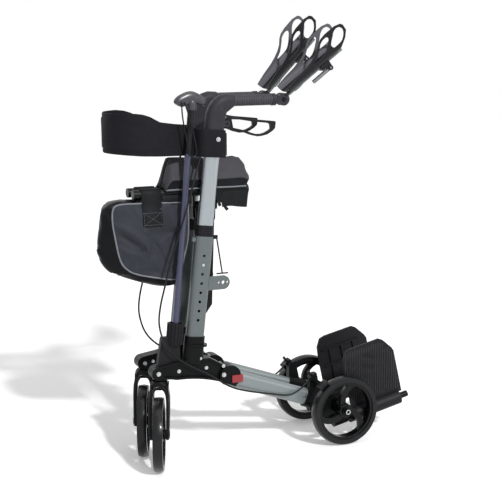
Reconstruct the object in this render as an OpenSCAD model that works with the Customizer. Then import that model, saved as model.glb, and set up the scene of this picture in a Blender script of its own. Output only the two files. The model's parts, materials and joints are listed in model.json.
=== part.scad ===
// Upright walker in its folded state: two side frames on wheels, forearm troughs, footrests and a cane.
// Millimetres. X runs to the rear from the foot of the posts, Y to the user's right, Z up from the floor.
// The left side is drawn at negative Y and mirrored for the right one.

/* [Posts] */
// Distance between the post centrelines when folded
post_gap = 124; // [122:1:140]
// Rearward lean of the posts in degrees
post_lean = 6.3; // [5.5:0.1:7]
// Height of the post foot
foot_z = 262; // [258:1:268]
// Width of the lower post, front to rear
lower_w = 52; // [50:1:54]
// Depth of the lower post, side to side
lower_d = 30; // [29:1:32]
// Length of the lower post
lower_len = 345; // [335:1:360]
// Width of the upper post
upper_w = 45; // [42:1:45]
// Depth of the upper post
upper_d = 23; // [21:1:23]
// Length of the upper post
upper_len = 436; // [420:1:440]
// Wall of both post tubes
tube_wall = 2; // [1.6:0.1:2]
// Pitch of the height holes
hole_pitch = 25.4; // [24:0.1:26]
// Radius of the height holes
hole_r = 4; // [3.8:0.1:4.5]
// Height of the post collar
collar_h = 30; // [24:1:34]

/* [Wheels] */
// Outer radius of the tyres
tyre_r = 100; // [95:1:102]
// Width of the rear tyres
tyre_w = 32; // [28:1:34]
// Width of the caster tyres
caster_tyre_w = 26; // [24:1:28]
// Radius of the wheel axles
axle_r = 6; // [5:0.5:7]
// Distance of the rear axle behind the post foot
axle_x = 438; // [430:1:450]
// Distance of a rear wheel's middle from the middle of the walker
track_half = 126; // [125:1:135]
// Distance of the caster stems ahead of the post foot
stem_ahead = 95; // [90:1:100]
// Trail of the casters
trail = 60; // [55:1:65]
// Turn of both casters in degrees, from pointing their trail to the rear
caster_turn = 248; // [242:1:254]

/* [Handles] */
// Rise of the grips above the top of the upper posts
grip_rise = 78.9; // [75:0.1:85]
// Start of the grips behind the post foot
grip_x = 127; // [122:1:132]
// Length of the grips
grip_len = 111; // [105:1:125]
// Radius of the grips
grip_r = 15; // [14:0.5:16]
// Radius of the handlebar inside the grips
bar_r = 11; // [10:0.5:12]
// Tilt of the left armrest in degrees
tilt_left = 37; // [30:1:48]
// Tilt of the right armrest in degrees
tilt_right = 46; // [35:1:55]
// Length of the armrest rails
arm_len = 220; // [214:1:232]
// Width of the forearm troughs
trough_w = 80; // [74:1:90]
// Height of the forearm troughs above their floor
trough_h = 66; // [60:1:70]
// Wall of the forearm troughs
trough_wall = 3.5; // [3:0.5:4]
// Length of the brake levers
lever_len = 144; // [135:1:150]

/* [Seat and cross brace] */
// Height of the seat rails when folded
rail_z = 738; // [734:1:745]
// Distance of a seat rail from the middle when folded
rail_y = 24; // [23:1:25]
// Radius of the seat rails
rail_r = 12; // [11:0.5:12]
// Fall of the seat rails while the frame opens
rail_fall = 236; // [230:1:240]
// Width of the cross arms, front to rear
arm_w = 20; // [18:1:21]

/* [Footrests] */
// Rise of the footrest rods to the rear in degrees
rod_rise = 13; // [11:0.5:14]
// Radius of the footrest rods
rod_r = 10; // [9:0.5:11]
// Length of the footplates along their rod
plate_len = 167; // [155:1:170]
// Reach of the footplates from their rod
plate_h = 193; // [185:1:196]
// Thickness of the footplates
plate_t = 6; // [5:0.5:7]

/* [Soft goods and cane] */
// Length of the bag, front to rear
bag_len = 254; // [235:1:258]
// Depth of the bag below its top
bag_h = 236; // [220:1:245]
// Half width of the bag when folded
bag_half = 40; // [34:1:42]
// Reach of the backrest band ahead of the post foot
band_reach = 227; // [215:1:235]
// Height of the backrest band at its front
band_h = 106; // [96:1:112]
// Radius of the cane's shaft
cane_r = 9.2; // [8.5:0.1:10]
// Lean of the cane in degrees
cane_lean = 5.2; // [5:0.1:5.6]

/* [Hidden] */
$fn = 48;
over = 1;
run_gap = 0.05;
fit_gap = 0.2;
clear_gap = 0.5;
arc_sides = 180;
hull_sides = 28;
half_share = 0.5;
curve_steps = 2;
nut_sides = 6;
eye_wall = 1;
SIDES = ["left", "right"];
PAIRED = [
  "bracket", "lower_post", "post_collar", "rear_leg", "wheel_carrier", "brake_shoe",
  "footplate", "upper_post", "handle_elbow", "grip", "brake_lever", "armrest_rail", "arm_trough",
  "trough_clamp", "clamp_lever", "caster_fork", "front_rim", "front_tyre", "rear_rim", "rear_tyre",
  "seat_rail", "cross_arm", "fold_button", "height_pin", "brake_cable"
];

// Colours
cast_black = "#1b1c1e";
silver_paint = "#9a9ea0";
bright_alu = "#c9cccd";
grip_black = "#2b2b2d";
steel = "#b9bcbe";
red_plastic = "#c8202a";
cloth_black = "#232326";
rubber_black = "#151516";
shaft_purple = "#5d5f93";

// Post frame: distances along a post start at its foot
post_y = post_gap / 2;
seat_depth = 16;
lower_top = seat_depth + lower_len;
hole_drop = 52;
first_hole = lower_top - hole_drop;
hole_count = 8;
pin_hole = 1;
upper_foot = 210;
upper_top = upper_foot + upper_len;
grip_z = foot_z + upper_top * cos(post_lean) + grip_rise;
clamp_lug_r = 6;
clamp_lug_t = 12;
clamp_lug_drop = 10;
clamp_lug_out = 3;
clamp_lug_s = lower_top - clamp_lug_drop;
clamp_lug_x = lower_w / 2 + clamp_lug_out;
tab_s = 228;
tab_t = 6;
tab_r = 19;
tab_reach = 69;
tab_hole_r = 3.2;
tab_bolt_r = 5;
tab_hole_span = 25;
pin_play = 0.3;
pin_r = hole_r - pin_play;
pin_flange_r = 6;
pin_flange_t = 2;
pin_proud = 1.5;
collar_plug = 24;
collar_rib = 1.2;
collar_ribs = 4;
collar_step = 3;
collar_side_step = 1;
collar_w = lower_w - collar_step;
collar_d = lower_d - collar_side_step;

// Cast bracket at the foot of each post
bracket_front = 125;
bracket_len = 260;
bracket_drop = 70;
bracket_base = foot_z - bracket_drop;
bracket_tall = 92;
bracket_t = 36;
web_t = 20;
lip_t = 6;
nose_r = 18.6;
boss_r = 31;
boss_t = 40;
arch_r = 364;
arch_x = -40;
arch_drop = 30;
arch_top = foot_z - arch_drop;
bracket_shares = [
  [0.0885, 0.885], [0.22, 0.94], [0.35, 1], [0.66, 1], [0.83, 0.72], [0.98, 0.45],
  [0.96, 0.02], [0.22, 0.478], [0.0885, 0.478]
];
nose_share = [0.0885, 0.68];
rear_share = [0.892, 0.36];
nose_at = on_bracket(nose_share);
rear_at = on_bracket(rear_share);
stem_x = -stem_ahead;
stem_out = 3.5;
stem_y = post_y + stem_out;
stem_r = 8;
stem_boss_r = 14;
stem_drop = 4;
stem_top = foot_z - stem_drop;
socket_wall = 3;
socket_side = 4;
socket_w = lower_w + 2 * socket_wall;
socket_d = lower_d + 2 * socket_side;
socket_s = 10;
socket_top = 85;
ring_s = 58;
ring_t = 6;
ring_out = 9;
ring_back = 4;
button_w = 32;
button_h = 21;
button_proud = 3;
button_t = 5.6;
button_back = 20;
button_drop = 8;
button_at = [rear_at[0] + button_back, rear_at[1] - button_drop];

// Rear leg, in a frame that starts at the rear boss and falls to the rear
leg_fall = 19.8;
leg_w = 48;
leg_d = 28;
leg_wall = 2;
leg_drop = 6;
leg_at = [rear_at[0], rear_at[1] - leg_drop];
leg_start = -8;
leg_len = 303;
carrier_lap = 45;
carrier_cap = 6;
carrier_start = leg_start + leg_len - carrier_lap;
carrier_end = leg_start + leg_len + carrier_cap;
carrier_wall = 5;

// Rear wheel carrier and brake
axle_z = tyre_r;
hub_w = 38;
hub_gap = 0.4;
carrier_y = post_y;
carrier_t = 18;
axle_boss_r = 19;
nut_r = 10;
nut_t = 6;
arm_shares = [
  [-0.86, 0.5], [-0.46, 0.48], [0.17, 0.18], [0.24, -0.4], [-0.13, -0.52], [-0.86, -0.04]
];
shoe_turn = 130;
shoe_gap = 4;
shoe_t = 8;
shoe_span = 30;
shoe_w = 24;
guide_r = 4;
guide_in = 42;
guide_y = track_half - guide_in;
guide_len = 36;
guide_block = 14;
guide_block_w = 20;
guide_web_shares = [[-0.88, 0.5], [-0.53, 0.48], [-0.66, 1.05], [-0.86, 0.98]];

// Footrests, in a frame that starts on the rod and rises to the rear
rod_in = 42;
rod_back = 32;
rod_drop = 34;
rod_y = track_half - rod_in;
rod_at = [axle_x + rod_back, axle_z - rod_drop];
rod_start = -50;
rod_end = 200;
rod_tip_len = 26;
rod_step = 1;
rod_tip_r = rod_r - rod_step;
rod_socket_r = 16;
rod_socket_len = 44;
sleeve_r = 21;
sleeve_start = 3;
sleeve_end = 172;
plate_start = 17;
plate_shares = [
  [0, 0.08], [0, 0.66], [0.02, 0.86], [0.1, 0.98], [0.2, 1], [0.76, 1], [0.83, 0.96],
  [0.97, 0.8], [1, 0.74], [1, 0.08]
];
tread_count = 20;
tread_h = 1;
tread_w = 3;
tread_edge = 14;
under_rib_h = 5;
under_rib_w = 4;
under_rib_shares = [0.18, 0.5, 0.82];
under_rib_share = 0.8;
tread_share = 0.74;

// Casters, in a frame whose X runs along the trail
cheek_gap = 6;
cheek_t = 6;
cheek_y = caster_tyre_w / 2 + cheek_gap;
fork_clear = 3;
cheek_shares = [[-0.19, 1], [0.28, 1], [0.75, 0.46], [0.68, 0.37], [0.45, 0.42], [-0.15, 0.73]];
crown_r = 21;
crown_t = 7;
crown_front_share = 0.8;
crown_drop = 29;
crown_top = foot_z - crown_drop;
crown_low = crown_top - crown_t;
fork_eye_r = 16;
fork_nut_t = 4;

// Wheels
tyre_crown_r = 40;
tyre_inner = 84;
rim_wall = 8;
rim_in = 3;
hub_r = 20;
spoke_count = 3;
spoke_t = 12;
spoke_w = 17;
spoke_bend_r = 52;
cap_r = 13;

// Handles
sleeve_wall = 4.5;
sleeve_side = 5;
sleeve_w = upper_w + 2 * sleeve_wall;
sleeve_d = upper_d + 2 * sleeve_side;
elbow_lap = 66;
elbow_rise = 26;
elbow_start = upper_top - elbow_lap;
elbow_top = upper_top + elbow_rise;
elbow_x = 88;
elbow_drop = 20;
elbow_turn = 45;
elbow_mid = [elbow_x, grip_z - elbow_drop];
elbow_mid_r = 21;
elbow_mid_t = 10;
elbow_step = 1;
elbow_lip = 2;
elbow_end_r = grip_r + elbow_lip;
elbow_end_t = 9;
end_collar_r = 16.5;
end_collar_t = 11;
hinge_reach = 33;
hinge_x = grip_x + grip_len + hinge_reach;
hinge_r = 17;
hinge_step = 2;
hinge_in = 15;
hinge_cheek = 5;
hinge_pin_r = 4;
lever_x = 106;
lever_drop = 61;
lever_at = [lever_x, grip_z - lever_drop];
lever_t = 11;
lever_h = 40;
lever_eye_r = 8;
lever_room = 2;
lever_pin_r = 3;
lever_cheek = 4;
lever_shares = [
  [-0.02, 0.2], [0.03, 0.48], [0.26, 0.41], [0.51, 0.24], [0.895, 0.09], [0.99, 0.05], [1, -0.05],
  [0.985, -0.42], [0.92, -0.63], [0.82, -0.83], [0.7, -0.92], [0.61, -0.93], [0.485, -0.82], [0.36, -0.64],
  [0.1, -0.46], [0, -0.3]
];
lever_window_shares = [
  [0.1, 0.28], [0.26, 0.25], [0.51, 0.09], [0.84, -0.05], [0.89, -0.14], [0.9, -0.45], [0.86, -0.57],
  [0.77, -0.72], [0.7, -0.78], [0.61, -0.78], [0.5, -0.67], [0.38, -0.5], [0.13, -0.28]
];
grip_ribs = 16;
grip_rib = 1.2;

// Armrests, in a frame that starts at the hinge and rises along the rail
bar_w = 22;
bar_t = 5;
bar_start = 12;
bar_from = 20;
gusset_start = 42;
gusset_len = 37;
gusset_h = 6;
gusset_w = 14;
trough_start = 22;
trough_len = 228;
trough_lift = 7;
trough_corner = 22;
trough_shares = [
  [0, 0], [0, 0.27], [0.15, 0.35], [0.3, 0.4], [0.4, 0.47], [0.48, 0.56], [0.55, 0.68], [0.61, 0.86],
  [0.66, 0.95], [0.74, 1], [0.9, 1], [0.98, 0.92], [1.01, 0.76], [1, 0.56], [0.94, 0.34], [0.86, 0.15],
  [0.83, 0]
];
window_low_shares = [
  [0.42, 0.31], [0.42, 0.37], [0.5, 0.47], [0.6, 0.71], [0.63, 0.8], [0.69, 0.87], [0.742, 0.85], [0.754, 0.74],
  [0.7, 0.56], [0.63, 0.38], [0.557, 0.295]
];
window_high_shares = [
  [0.7, 0.36], [0.785, 0.65], [0.833, 0.8], [0.886, 0.88], [0.939, 0.85], [0.969, 0.71], [0.96, 0.545],
  [0.912, 0.37], [0.855, 0.29], [0.737, 0.29]
];
clamp_start = 137;
clamp_len = 31;
clamp_low = -10;
clamp_w = 34;
clamp_grip = 0.4;
qr_len = 62;
qr_w = 12;
qr_t = 8;
qr_eye_r = 6;
qr_pin_r = 3;
qr_in = 4;
qr_drop = 10;
qr_at = [clamp_start + clamp_len - qr_in, clamp_low - qr_drop];
qr_cheek = 5;

// Cross brace: two arms cross on a centre pin, with slotted ends on the brackets and under the rails
pivot_x = 16;
pivot_y = 19;
pivot_lift = 4;
pivot_z = foot_z + pivot_lift;
pivot_r = 4;
barrel_len = 22;
lug_t = 7.5;
lug_r = 11;
arm_x = [52, 76];
arm_t = 10;
arm_bend = 150;
arm_bend_share = 0.42;
pin_down = 44;
head_wall = 3.5;
brace_y = 2 * pivot_y;
brace_z = rail_z - pin_down - pivot_z;
brace_len = norm([brace_y, brace_z]);
brace_mid = pivot_z + brace_z / 2;
turn_folded = atan2(brace_y, brace_z);
turn_open = acos((brace_z - rail_fall) / brace_len);
fold_travel = brace_len * sin(turn_open) - brace_y;
slot_back = brace_len * (1 - cos((turn_open - turn_folded) / 2)) / 2 + clear_gap;
slot_steps = [0 : 0.05 : 1];
slot_sway = max([for (f = slot_steps) abs(sway(f))]) / 2;
slot_half = pivot_r + slot_sway + clear_gap;
head_half = slot_half + head_wall;
centre_r = 5;
centre_boss_r = 13;
centre_head_r = 9;
centre_head_t = 4;
lug_plate_t = 6;
rail_front = -148;
rail_rear = 183;
rail_cap_wall = 0.6;
rail_cap_r = rail_r + rail_cap_wall;
rail_cap_len = 15;

// Seat: a cloth that folds into two ridges between the rails
seat_front = -62;
seat_rear = 168;
seat_t = 2.5;
seat_rise = 0.8;
seat_lift = rail_r + seat_rise;
ridge_h = 72;
seat_fold_shares = [
  [1.2, 0], [1.12, 0.3], [0.94, 0.82], [0.8, 0.96], [0.63, 1], [0.46, 0.96], [0.34, 0.82], [0.16, 0.4], [0, 0.3]
];
seat_slope_shares = [
  [0, 0], [0.045, 0.42], [0.06, 0.8], [0.1, 1.1],
  [0.96, 1.1], [0.97, 0.6], [1, 0.2], [1, 0]
];

// Bag under the front of the rails
bag_drop = 27;
bag_top = rail_z - bag_drop;
bag_rear = 16;
bag_mid_shares = [
  [0, 0.1], [0.04, 0], [0.86, -0.02], [0.96, 0.12], [1, 0.5], [0.88, 0.86], [0.78, 0.98], [0.45, 1], [0.1, 0.92]
];
bag_side_shares = [
  [0, 0.1], [0.06, 0.04], [0.76, 0.04], [0.85, 0.12], [0.83, 0.55], [0.76, 0.8], [0.6, 0.89], [0.12, 0.88]
];
bag_core_share = 0.45;
bag_strap_share = 0.457;
bag_strap_w = 56;
bag_strap_t = 3;
bag_strap_in = 12;

// Backrest band: a loop from post to post around the front
band_t = 4;
band_y = post_y + sleeve_d / 2 + fit_gap + band_t;
band_rear = 97;
band_drop = 150;
band_low = grip_z - band_drop;
band_end_h = 73;
band_shares = [
  [0, 0.18], [0, 1.13], [0.1, 1.13], [0.18, 1.08], [0.3, 0.98], [0.6, 0.86], [1, 0.69], [1, 0], [0.5, 0.05]
];
band_plate_t = 3;
band_plate_w = 12;

// Cane and its cup
cane_y = post_y;
cane_foot = [-50, 335];
cane_len = 644;
ferrule_r = 15;
ferrule_len = 34;
cup_r = 20;
cup_rib_r = 3;
cup_ribs = 14;
cup_h = 58;
cup_floor = 5;
cup_play = 1;
cup_bore = ferrule_r + cup_play;
cup_web_t = 16;
cup_web_shares = [[-0.88, -1.07], [-0.81, -0.6], [-0.66, 0.29], [-0.17, 0.29], [0.24, -0.1], [0.24, -1.07]];
handle_t = 24;
handle_len = 92;
handle_h = 50;
handle_shares = [
  [-0.47, 0.17], [-0.41, 0.43], [-0.25, 0.59], [-0.04, 0.71], [0.15, 0.59], [0.34, 0.37], [0.47, 0.15],
  [0.53, -0.05], [0.47, -0.21], [0.32, -0.09], [0.17, 0.03], [0.145, -0.29], [-0.155, -0.29], [-0.195, -0.03],
  [-0.28, -0.17], [-0.41, -0.17]
];
strap_r = 2;

// Catch rod behind the left post
catch_r = 2;
catch_top = [76, 616];
catch_foot = [92, 514];
catch_bar = 33;
catch_block = [16, 7, 10];

// Routes of the brake cables on the left side, from the handle to the brake
cable_r = 2.5;
cable_sides = 8;
cable_steps = 3;
cord_side_shares = [1, 0.3, 0.1];
cable_route = [
  [36, -62, 880], [32, -68, 850], [20, -74, 815], [0, -84, 760], [-22, -87, 690], [-46, -87, 620],
  [-66, -87, 560], [-82, -87, 500], [-96, -87, 445], [-101, -87, 400], [-94, -88, 360], [-78, -90, 325],
  [-50, -90, 295], [-10, -88, 268], [40, -86, 240], [100, -88, 200], [150, -85, 180], [220, -84, 163],
  [280, -85, 152], [320, -85, 166], [348, -84, 190]
];
strap_route = [
  [-24, -75.7, 984], [-26, -90, 966], [-23, -94, 930], [-11, -94, 880], [0, -94, 846], [7, -94, 840],
  [10, -94, 852], [4, -94, 900], [-7, -91, 952], [-16, -75.7, 982]
];

// Box of the whole walker, to place its origin
tyre_edge = min(caster_tyre_w / 2, tyre_crown_r * abs(cos(caster_turn)));
tyre_core = tyre_r - tyre_crown_r + sqrt(tyre_crown_r * tyre_crown_r - tyre_edge * tyre_edge);
tyre_reach = tyre_core * abs(sin(caster_turn)) + tyre_edge * abs(cos(caster_turn));
front_x = bag_rear - bag_len;
rear_x = rod_at[0] + rod_end * cos(rod_rise) + rod_tip_r * sin(rod_rise);
left_y = -stem_y + trail * sin(caster_turn) - tyre_reach;
right_y = track_half + hub_w / 2 + hub_gap + nut_t;
mid_x = (front_x + rear_x) / 2;
mid_y = (left_y + right_y) / 2;

function on_bracket(share) = [-bracket_front + share[0] * bracket_len, bracket_base + share[1] * bracket_tall];
function sized(shares, length, height) = [for (p = shares) [p[0] * length, p[1] * height]];
function turn_at(f) = turn_folded + f * (turn_open - turn_folded);
function sway(f) = (brace_y + f * fold_travel) * cos(turn_at(f)) - (brace_z - f * rail_fall) * sin(turn_at(f));
function curve_at(a, b, c, d, t) =
  (2 * b + (c - a) * t + (2 * a - 5 * b + 4 * c - d) * t * t + (3 * b - a - 3 * c + d) * t * t * t) / 2;
function closed_curve(p, steps) = [
  for (i = [0 : len(p) - 1], k = [0 : steps - 1])
    curve_at(p[(i + len(p) - 1) % len(p)], p[i], p[(i + 1) % len(p)], p[(i + 2) % len(p)], k / steps)
];
function open_curve(p, steps) = concat(
  [for (i = [0 : len(p) - 2], k = [0 : steps - 1])
    curve_at(p[max(i - 1, 0)], p[i], p[i + 1], p[min(i + 2, len(p) - 1)], k / steps)],
  [p[len(p) - 1]]
);
function unit(v) = v / norm(v);
function heading(p, i) = unit(p[min(i + 1, len(p) - 1)] - p[max(i - 1, 0)]);
function ring_at(p, i, r, sides) =
  let (t = heading(p, i), u = unit(cross(t, cord_side_shares)), v = cross(t, u))
  [for (k = [0 : sides - 1]) p[i] + r * (cos(360 * k / sides) * u + sin(360 * k / sides) * v)];

// A round cord swept along a route
module cord(route, r, sides, steps) {
  p = open_curve(route, steps);
  n = len(p);
  points = [for (i = [0 : n - 1]) each ring_at(p, i, r, sides)];
  walls = [
    for (i = [0 : n - 2], k = [0 : sides - 1], half = [0, 1])
      let (a = i * sides + k, b = i * sides + (k + 1) % sides)
      half == 0 ? [a, b, a + sides] : [b, b + sides, a + sides]
  ];
  start = [for (k = [1 : sides - 2]) [0, k + 1, k]];
  tail = (n - 1) * sides;
  end = [for (k = [1 : sides - 2]) [tail, tail + k, tail + k + 1]];
  polyhedron(points, concat(walls, start, end));
}

// A flat shape with round ends, wide along X
module obround(w, d) {
  square([w - d, d], center = true);
  for (x = [-1, 1]) translate([x * (w - d) / 2, 0]) circle(d = d);
}

module obround_tube(w, d, wall, length) {
  difference() {
    linear_extrude(length) obround(w, d);
    translate([0, 0, -over]) linear_extrude(length + 2 * over) obround(w - 2 * wall, d - 2 * wall);
  }
}

// Side view shapes, X and Z, given thickness about a middle plane
module slab(y, t) {
  translate([0, y + t / 2, 0]) rotate([90, 0, 0]) linear_extrude(t) children();
}

module bar_y(at, r, y0, y1) {
  translate([at[0], y1, at[1]]) rotate([90, 0, 0]) cylinder(r = r, h = y1 - y0);
}

module bar_x(x0, x1, y, z, r) {
  translate([x0, y, z]) rotate([0, 90, 0]) cylinder(r = r, h = x1 - x0);
}

module at_post(s) {
  translate([0, -post_y, foot_z]) rotate([0, post_lean, 0]) translate([0, 0, s]) children();
}

module at_leg() {
  translate([leg_at[0], -post_y, leg_at[1]]) rotate([0, leg_fall, 0]) children();
}

module leg_shape(w, d, x0, x1) {
  translate([x0, 0, 0]) rotate([0, 90, 0]) linear_extrude(x1 - x0) obround(w, d);
}

module at_rod() {
  translate([rod_at[0], -rod_y, rod_at[1]]) rotate([0, -rod_rise, 0]) children();
}

module at_caster(side) {
  translate([stem_x, side * stem_y, 0]) rotate([0, 0, caster_turn]) children();
}

module at_arm(tilt) {
  translate([hinge_x, -post_y, grip_z]) rotate([0, -tilt, 0]) children();
}

module at_shoe() {
  translate([axle_x, 0, axle_z]) rotate([0, -shoe_turn, 0]) children();
}

module at_cane(s) {
  translate([cane_foot[0], -cane_y, cane_foot[1]]) rotate([0, cane_lean, 0]) translate([0, 0, s]) children();
}

// The walker's origin is under the middle of its box
module place() {
  translate([-mid_x, -mid_y, 0]) children();
}

module mirrored(side) {
  if (side == "left") {
    children();
  } else {
    mirror([0, 1, 0]) children();
  }
}

// Side frames
module bracket_outline() {
  difference() {
    union() {
      polygon([for (share = bracket_shares) on_bracket(share)]);
      translate(nose_at) circle(r = nose_r);
      translate(rear_at) circle(r = boss_r);
    }
    translate([arch_x, arch_top - arch_r]) circle(r = arch_r, $fn = arc_sides);
  }
}

module bracket_lip(shift) {
  difference() {
    bracket_outline();
    translate([0, shift]) bracket_outline();
  }
}

module pivot_lugs() {
  for (x = [pivot_x - barrel_len / 2 - lug_t - clear_gap, pivot_x + barrel_len / 2 + clear_gap]) {
    bar_x(x, x + lug_t, -pivot_y, pivot_z, lug_r);
    translate([x, -post_y, pivot_z - lug_r]) cube([lug_t, post_y - pivot_y, 2 * lug_r]);
  }
  bar_x(pivot_x - barrel_len / 2 - lug_t, pivot_x + barrel_len / 2 + lug_t, -pivot_y, pivot_z, pivot_r);
}

module bracket() {
  color(cast_black) difference() {
    union() {
      slab(-post_y, web_t) bracket_outline();
      slab(-post_y, bracket_t) bracket_lip(-lip_t);
      slab(-post_y, bracket_t) bracket_lip(lip_t);
      slab(-post_y, bracket_t) translate(nose_at) circle(r = nose_r);
      slab(-post_y, boss_t) intersection() {
        bracket_outline();
        translate(rear_at) circle(r = boss_r);
      }
      translate([stem_x, -stem_y, crown_top + 2 * clear_gap])
        cylinder(r = stem_boss_r, h = nose_at[1] + nose_r - crown_top - 2 * clear_gap);
      at_post(socket_s) linear_extrude(socket_top - socket_s) obround(socket_w, socket_d);
      at_post(ring_s) translate([ring_back, 0, 0]) linear_extrude(ring_t)
        obround(socket_w + ring_out, socket_d + ring_out);
      pivot_lugs();
    }
    at_post(seat_depth) linear_extrude(lower_len) obround(lower_w + fit_gap, lower_d + fit_gap);
    at_leg() leg_shape(leg_w + fit_gap, leg_d + fit_gap, leg_start, leg_len);
    translate([stem_x, -stem_y, 0]) cylinder(r = stem_r + run_gap, h = stem_top + clear_gap);
    translate([button_at[0], -post_y - boss_t / 2, button_at[1]])
      cube([button_w + 2 * fit_gap, 2 * (boss_t - leg_d), button_h + 2 * fit_gap], center = true);
  }
}

module fold_button() {
  outer = -post_y - boss_t / 2 - button_proud;
  color(red_plastic) translate([button_at[0] - button_w / 2, outer, button_at[1] - button_h / 2])
    cube([button_w, button_t, button_h]);
}

module seat_tab() {
  slab(0, tab_t) difference() {
    union() {
      translate([0, -tab_r]) square([tab_reach, 2 * tab_r]);
      translate([tab_reach, 0]) circle(r = tab_r);
    }
    for (x = [-tab_hole_span / 2, tab_hole_span / 2]) translate([tab_reach + x, 0]) circle(r = tab_hole_r);
    translate([tab_reach, 0]) circle(r = tab_bolt_r);
  }
}

module lower_post() {
  color(silver_paint) difference() {
    union() {
      at_post(seat_depth) linear_extrude(lower_len) obround(lower_w, lower_d);
      at_post(tab_s) rotate([0, -post_lean, 0]) seat_tab();
      at_post(clamp_lug_s) bar_y([-clamp_lug_x, 0], clamp_lug_r, -clamp_lug_t / 2, clamp_lug_t / 2);
    }
    at_post(0) linear_extrude(lower_top + over) obround(lower_w - 2 * tube_wall, lower_d - 2 * tube_wall);
    for (i = [0 : hole_count - 1])
      at_post(first_hole - i * hole_pitch) bar_y([0, 0], hole_r, -lower_d, 0);
  }
}

module post_collar() {
  color(grip_black) at_post(lower_top) difference() {
    union() {
      linear_extrude(collar_h) obround(collar_w - 2 * collar_rib, collar_d - 2 * collar_rib);
      for (i = [0 : collar_ribs - 1])
        translate([0, 0, i * collar_h / collar_ribs])
          linear_extrude(collar_h / collar_ribs * half_share) obround(collar_w, collar_d);
      translate([0, 0, -collar_plug])
        linear_extrude(collar_plug)
          obround(lower_w - 2 * tube_wall - fit_gap, lower_d - 2 * tube_wall - fit_gap);
    }
    translate([0, 0, -collar_plug - over])
      linear_extrude(collar_plug + collar_h + 2 * over) obround(upper_w + 2 * fit_gap, upper_d + 2 * fit_gap);
  }
}

module catch_rod() {
  span = [catch_foot[0] - catch_top[0], catch_foot[1] - catch_top[1]];
  post_edge = (catch_top[1] - foot_z) * tan(post_lean) + lower_w / 2 / cos(post_lean);
  color(cast_black) {
    translate([post_edge + fit_gap, -post_y - catch_block[1] / 2, catch_top[1] - catch_block[2] / 2])
      cube([catch_top[0] + catch_r - post_edge, catch_block[1], catch_block[2]]);
    translate([catch_top[0], -post_y, catch_top[1]])
      rotate([0, atan2(span[0], span[1]), 0]) cylinder(r = catch_r, h = norm(span));
    bar_x(catch_foot[0] - catch_bar / 2, catch_foot[0] + catch_bar / 2, -post_y, catch_foot[1], catch_r);
  }
}

module rear_leg() {
  color(silver_paint) at_leg() difference() {
    leg_shape(leg_w, leg_d, leg_start, leg_start + leg_len);
    leg_shape(leg_w - 2 * leg_wall, leg_d - 2 * leg_wall, leg_start - over, leg_start + leg_len + over);
  }
}

module guide_hole(r, from, to) {
  at_shoe() translate([from, -guide_y, 0]) rotate([0, 90, 0]) cylinder(r = r, h = to - from);
}

// Rod of the footrest, welded into its socket on the carrier, with a stepped free end
module foot_rod() {
  at_rod() {
    bar_x(rod_start, rod_end - rod_tip_len, 0, 0, rod_r);
    bar_x(rod_end - rod_tip_len - over, rod_end, 0, 0, rod_tip_r);
  }
}

module wheel_carrier() {
  face = track_half - hub_w / 2 - hub_gap;
  guide_from = tyre_r + shoe_gap + shoe_t + 2 * clear_gap + guide_block / 2;
  color(cast_black) difference() {
    union() {
      at_leg() leg_shape(leg_w + 2 * carrier_wall, leg_d + 2 * carrier_wall, carrier_start, carrier_end);
      slab(-carrier_y - carrier_t / 2, carrier_t)
        translate([axle_x, axle_z]) polygon(sized(arm_shares, tyre_r, tyre_r));
      bar_y([axle_x, axle_z], axle_boss_r, -face, -carrier_y);
      bar_y([axle_x, axle_z], axle_r, -track_half - hub_w / 2 - hub_gap - nut_t / 2, -carrier_y);
      at_rod() bar_x(rod_start, rod_start + rod_socket_len, 0, 0, rod_socket_r);
      foot_rod();
      slab(-carrier_y - carrier_t / 2, carrier_t)
        translate([axle_x, axle_z]) polygon(sized(guide_web_shares, tyre_r, tyre_r));
      at_shoe() translate([guide_from, -guide_y - guide_block_w / 2, -guide_block_w / 2])
        cube([guide_block, guide_block_w, guide_block_w]);
    }
    at_leg() leg_shape(leg_w + fit_gap, leg_d + fit_gap, 0, leg_start + leg_len);
    guide_hole(guide_r + run_gap, guide_from - over, guide_from + guide_block + over);
  }
  color(steel) bar_y([axle_x, axle_z], nut_r,
    -track_half - hub_w / 2 - hub_gap - nut_t, -track_half - hub_w / 2 - hub_gap - nut_t / 2, $fn = nut_sides);
}

module brake_shoe() {
  inner = tyre_r + shoe_gap;
  color(cast_black) {
    at_shoe() intersection() {
      translate([0, -track_half + shoe_w / 2, 0]) rotate([90, 0, 0]) difference() {
        cylinder(r = inner + shoe_t, h = shoe_w);
        translate([0, 0, -over]) cylinder(r = inner, h = shoe_w + 2 * over);
      }
      translate([0, -track_half - shoe_w, -shoe_span / 2]) cube([2 * tyre_r, 2 * shoe_w, shoe_span]);
    }
    at_shoe() translate([inner + shoe_t * half_share, -track_half, -guide_r])
      cube([shoe_t * half_share, track_half - guide_y + guide_r, 2 * guide_r]);
    guide_hole(guide_r, inner + shoe_t * half_share, inner + shoe_t + guide_len);
  }
}

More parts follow.
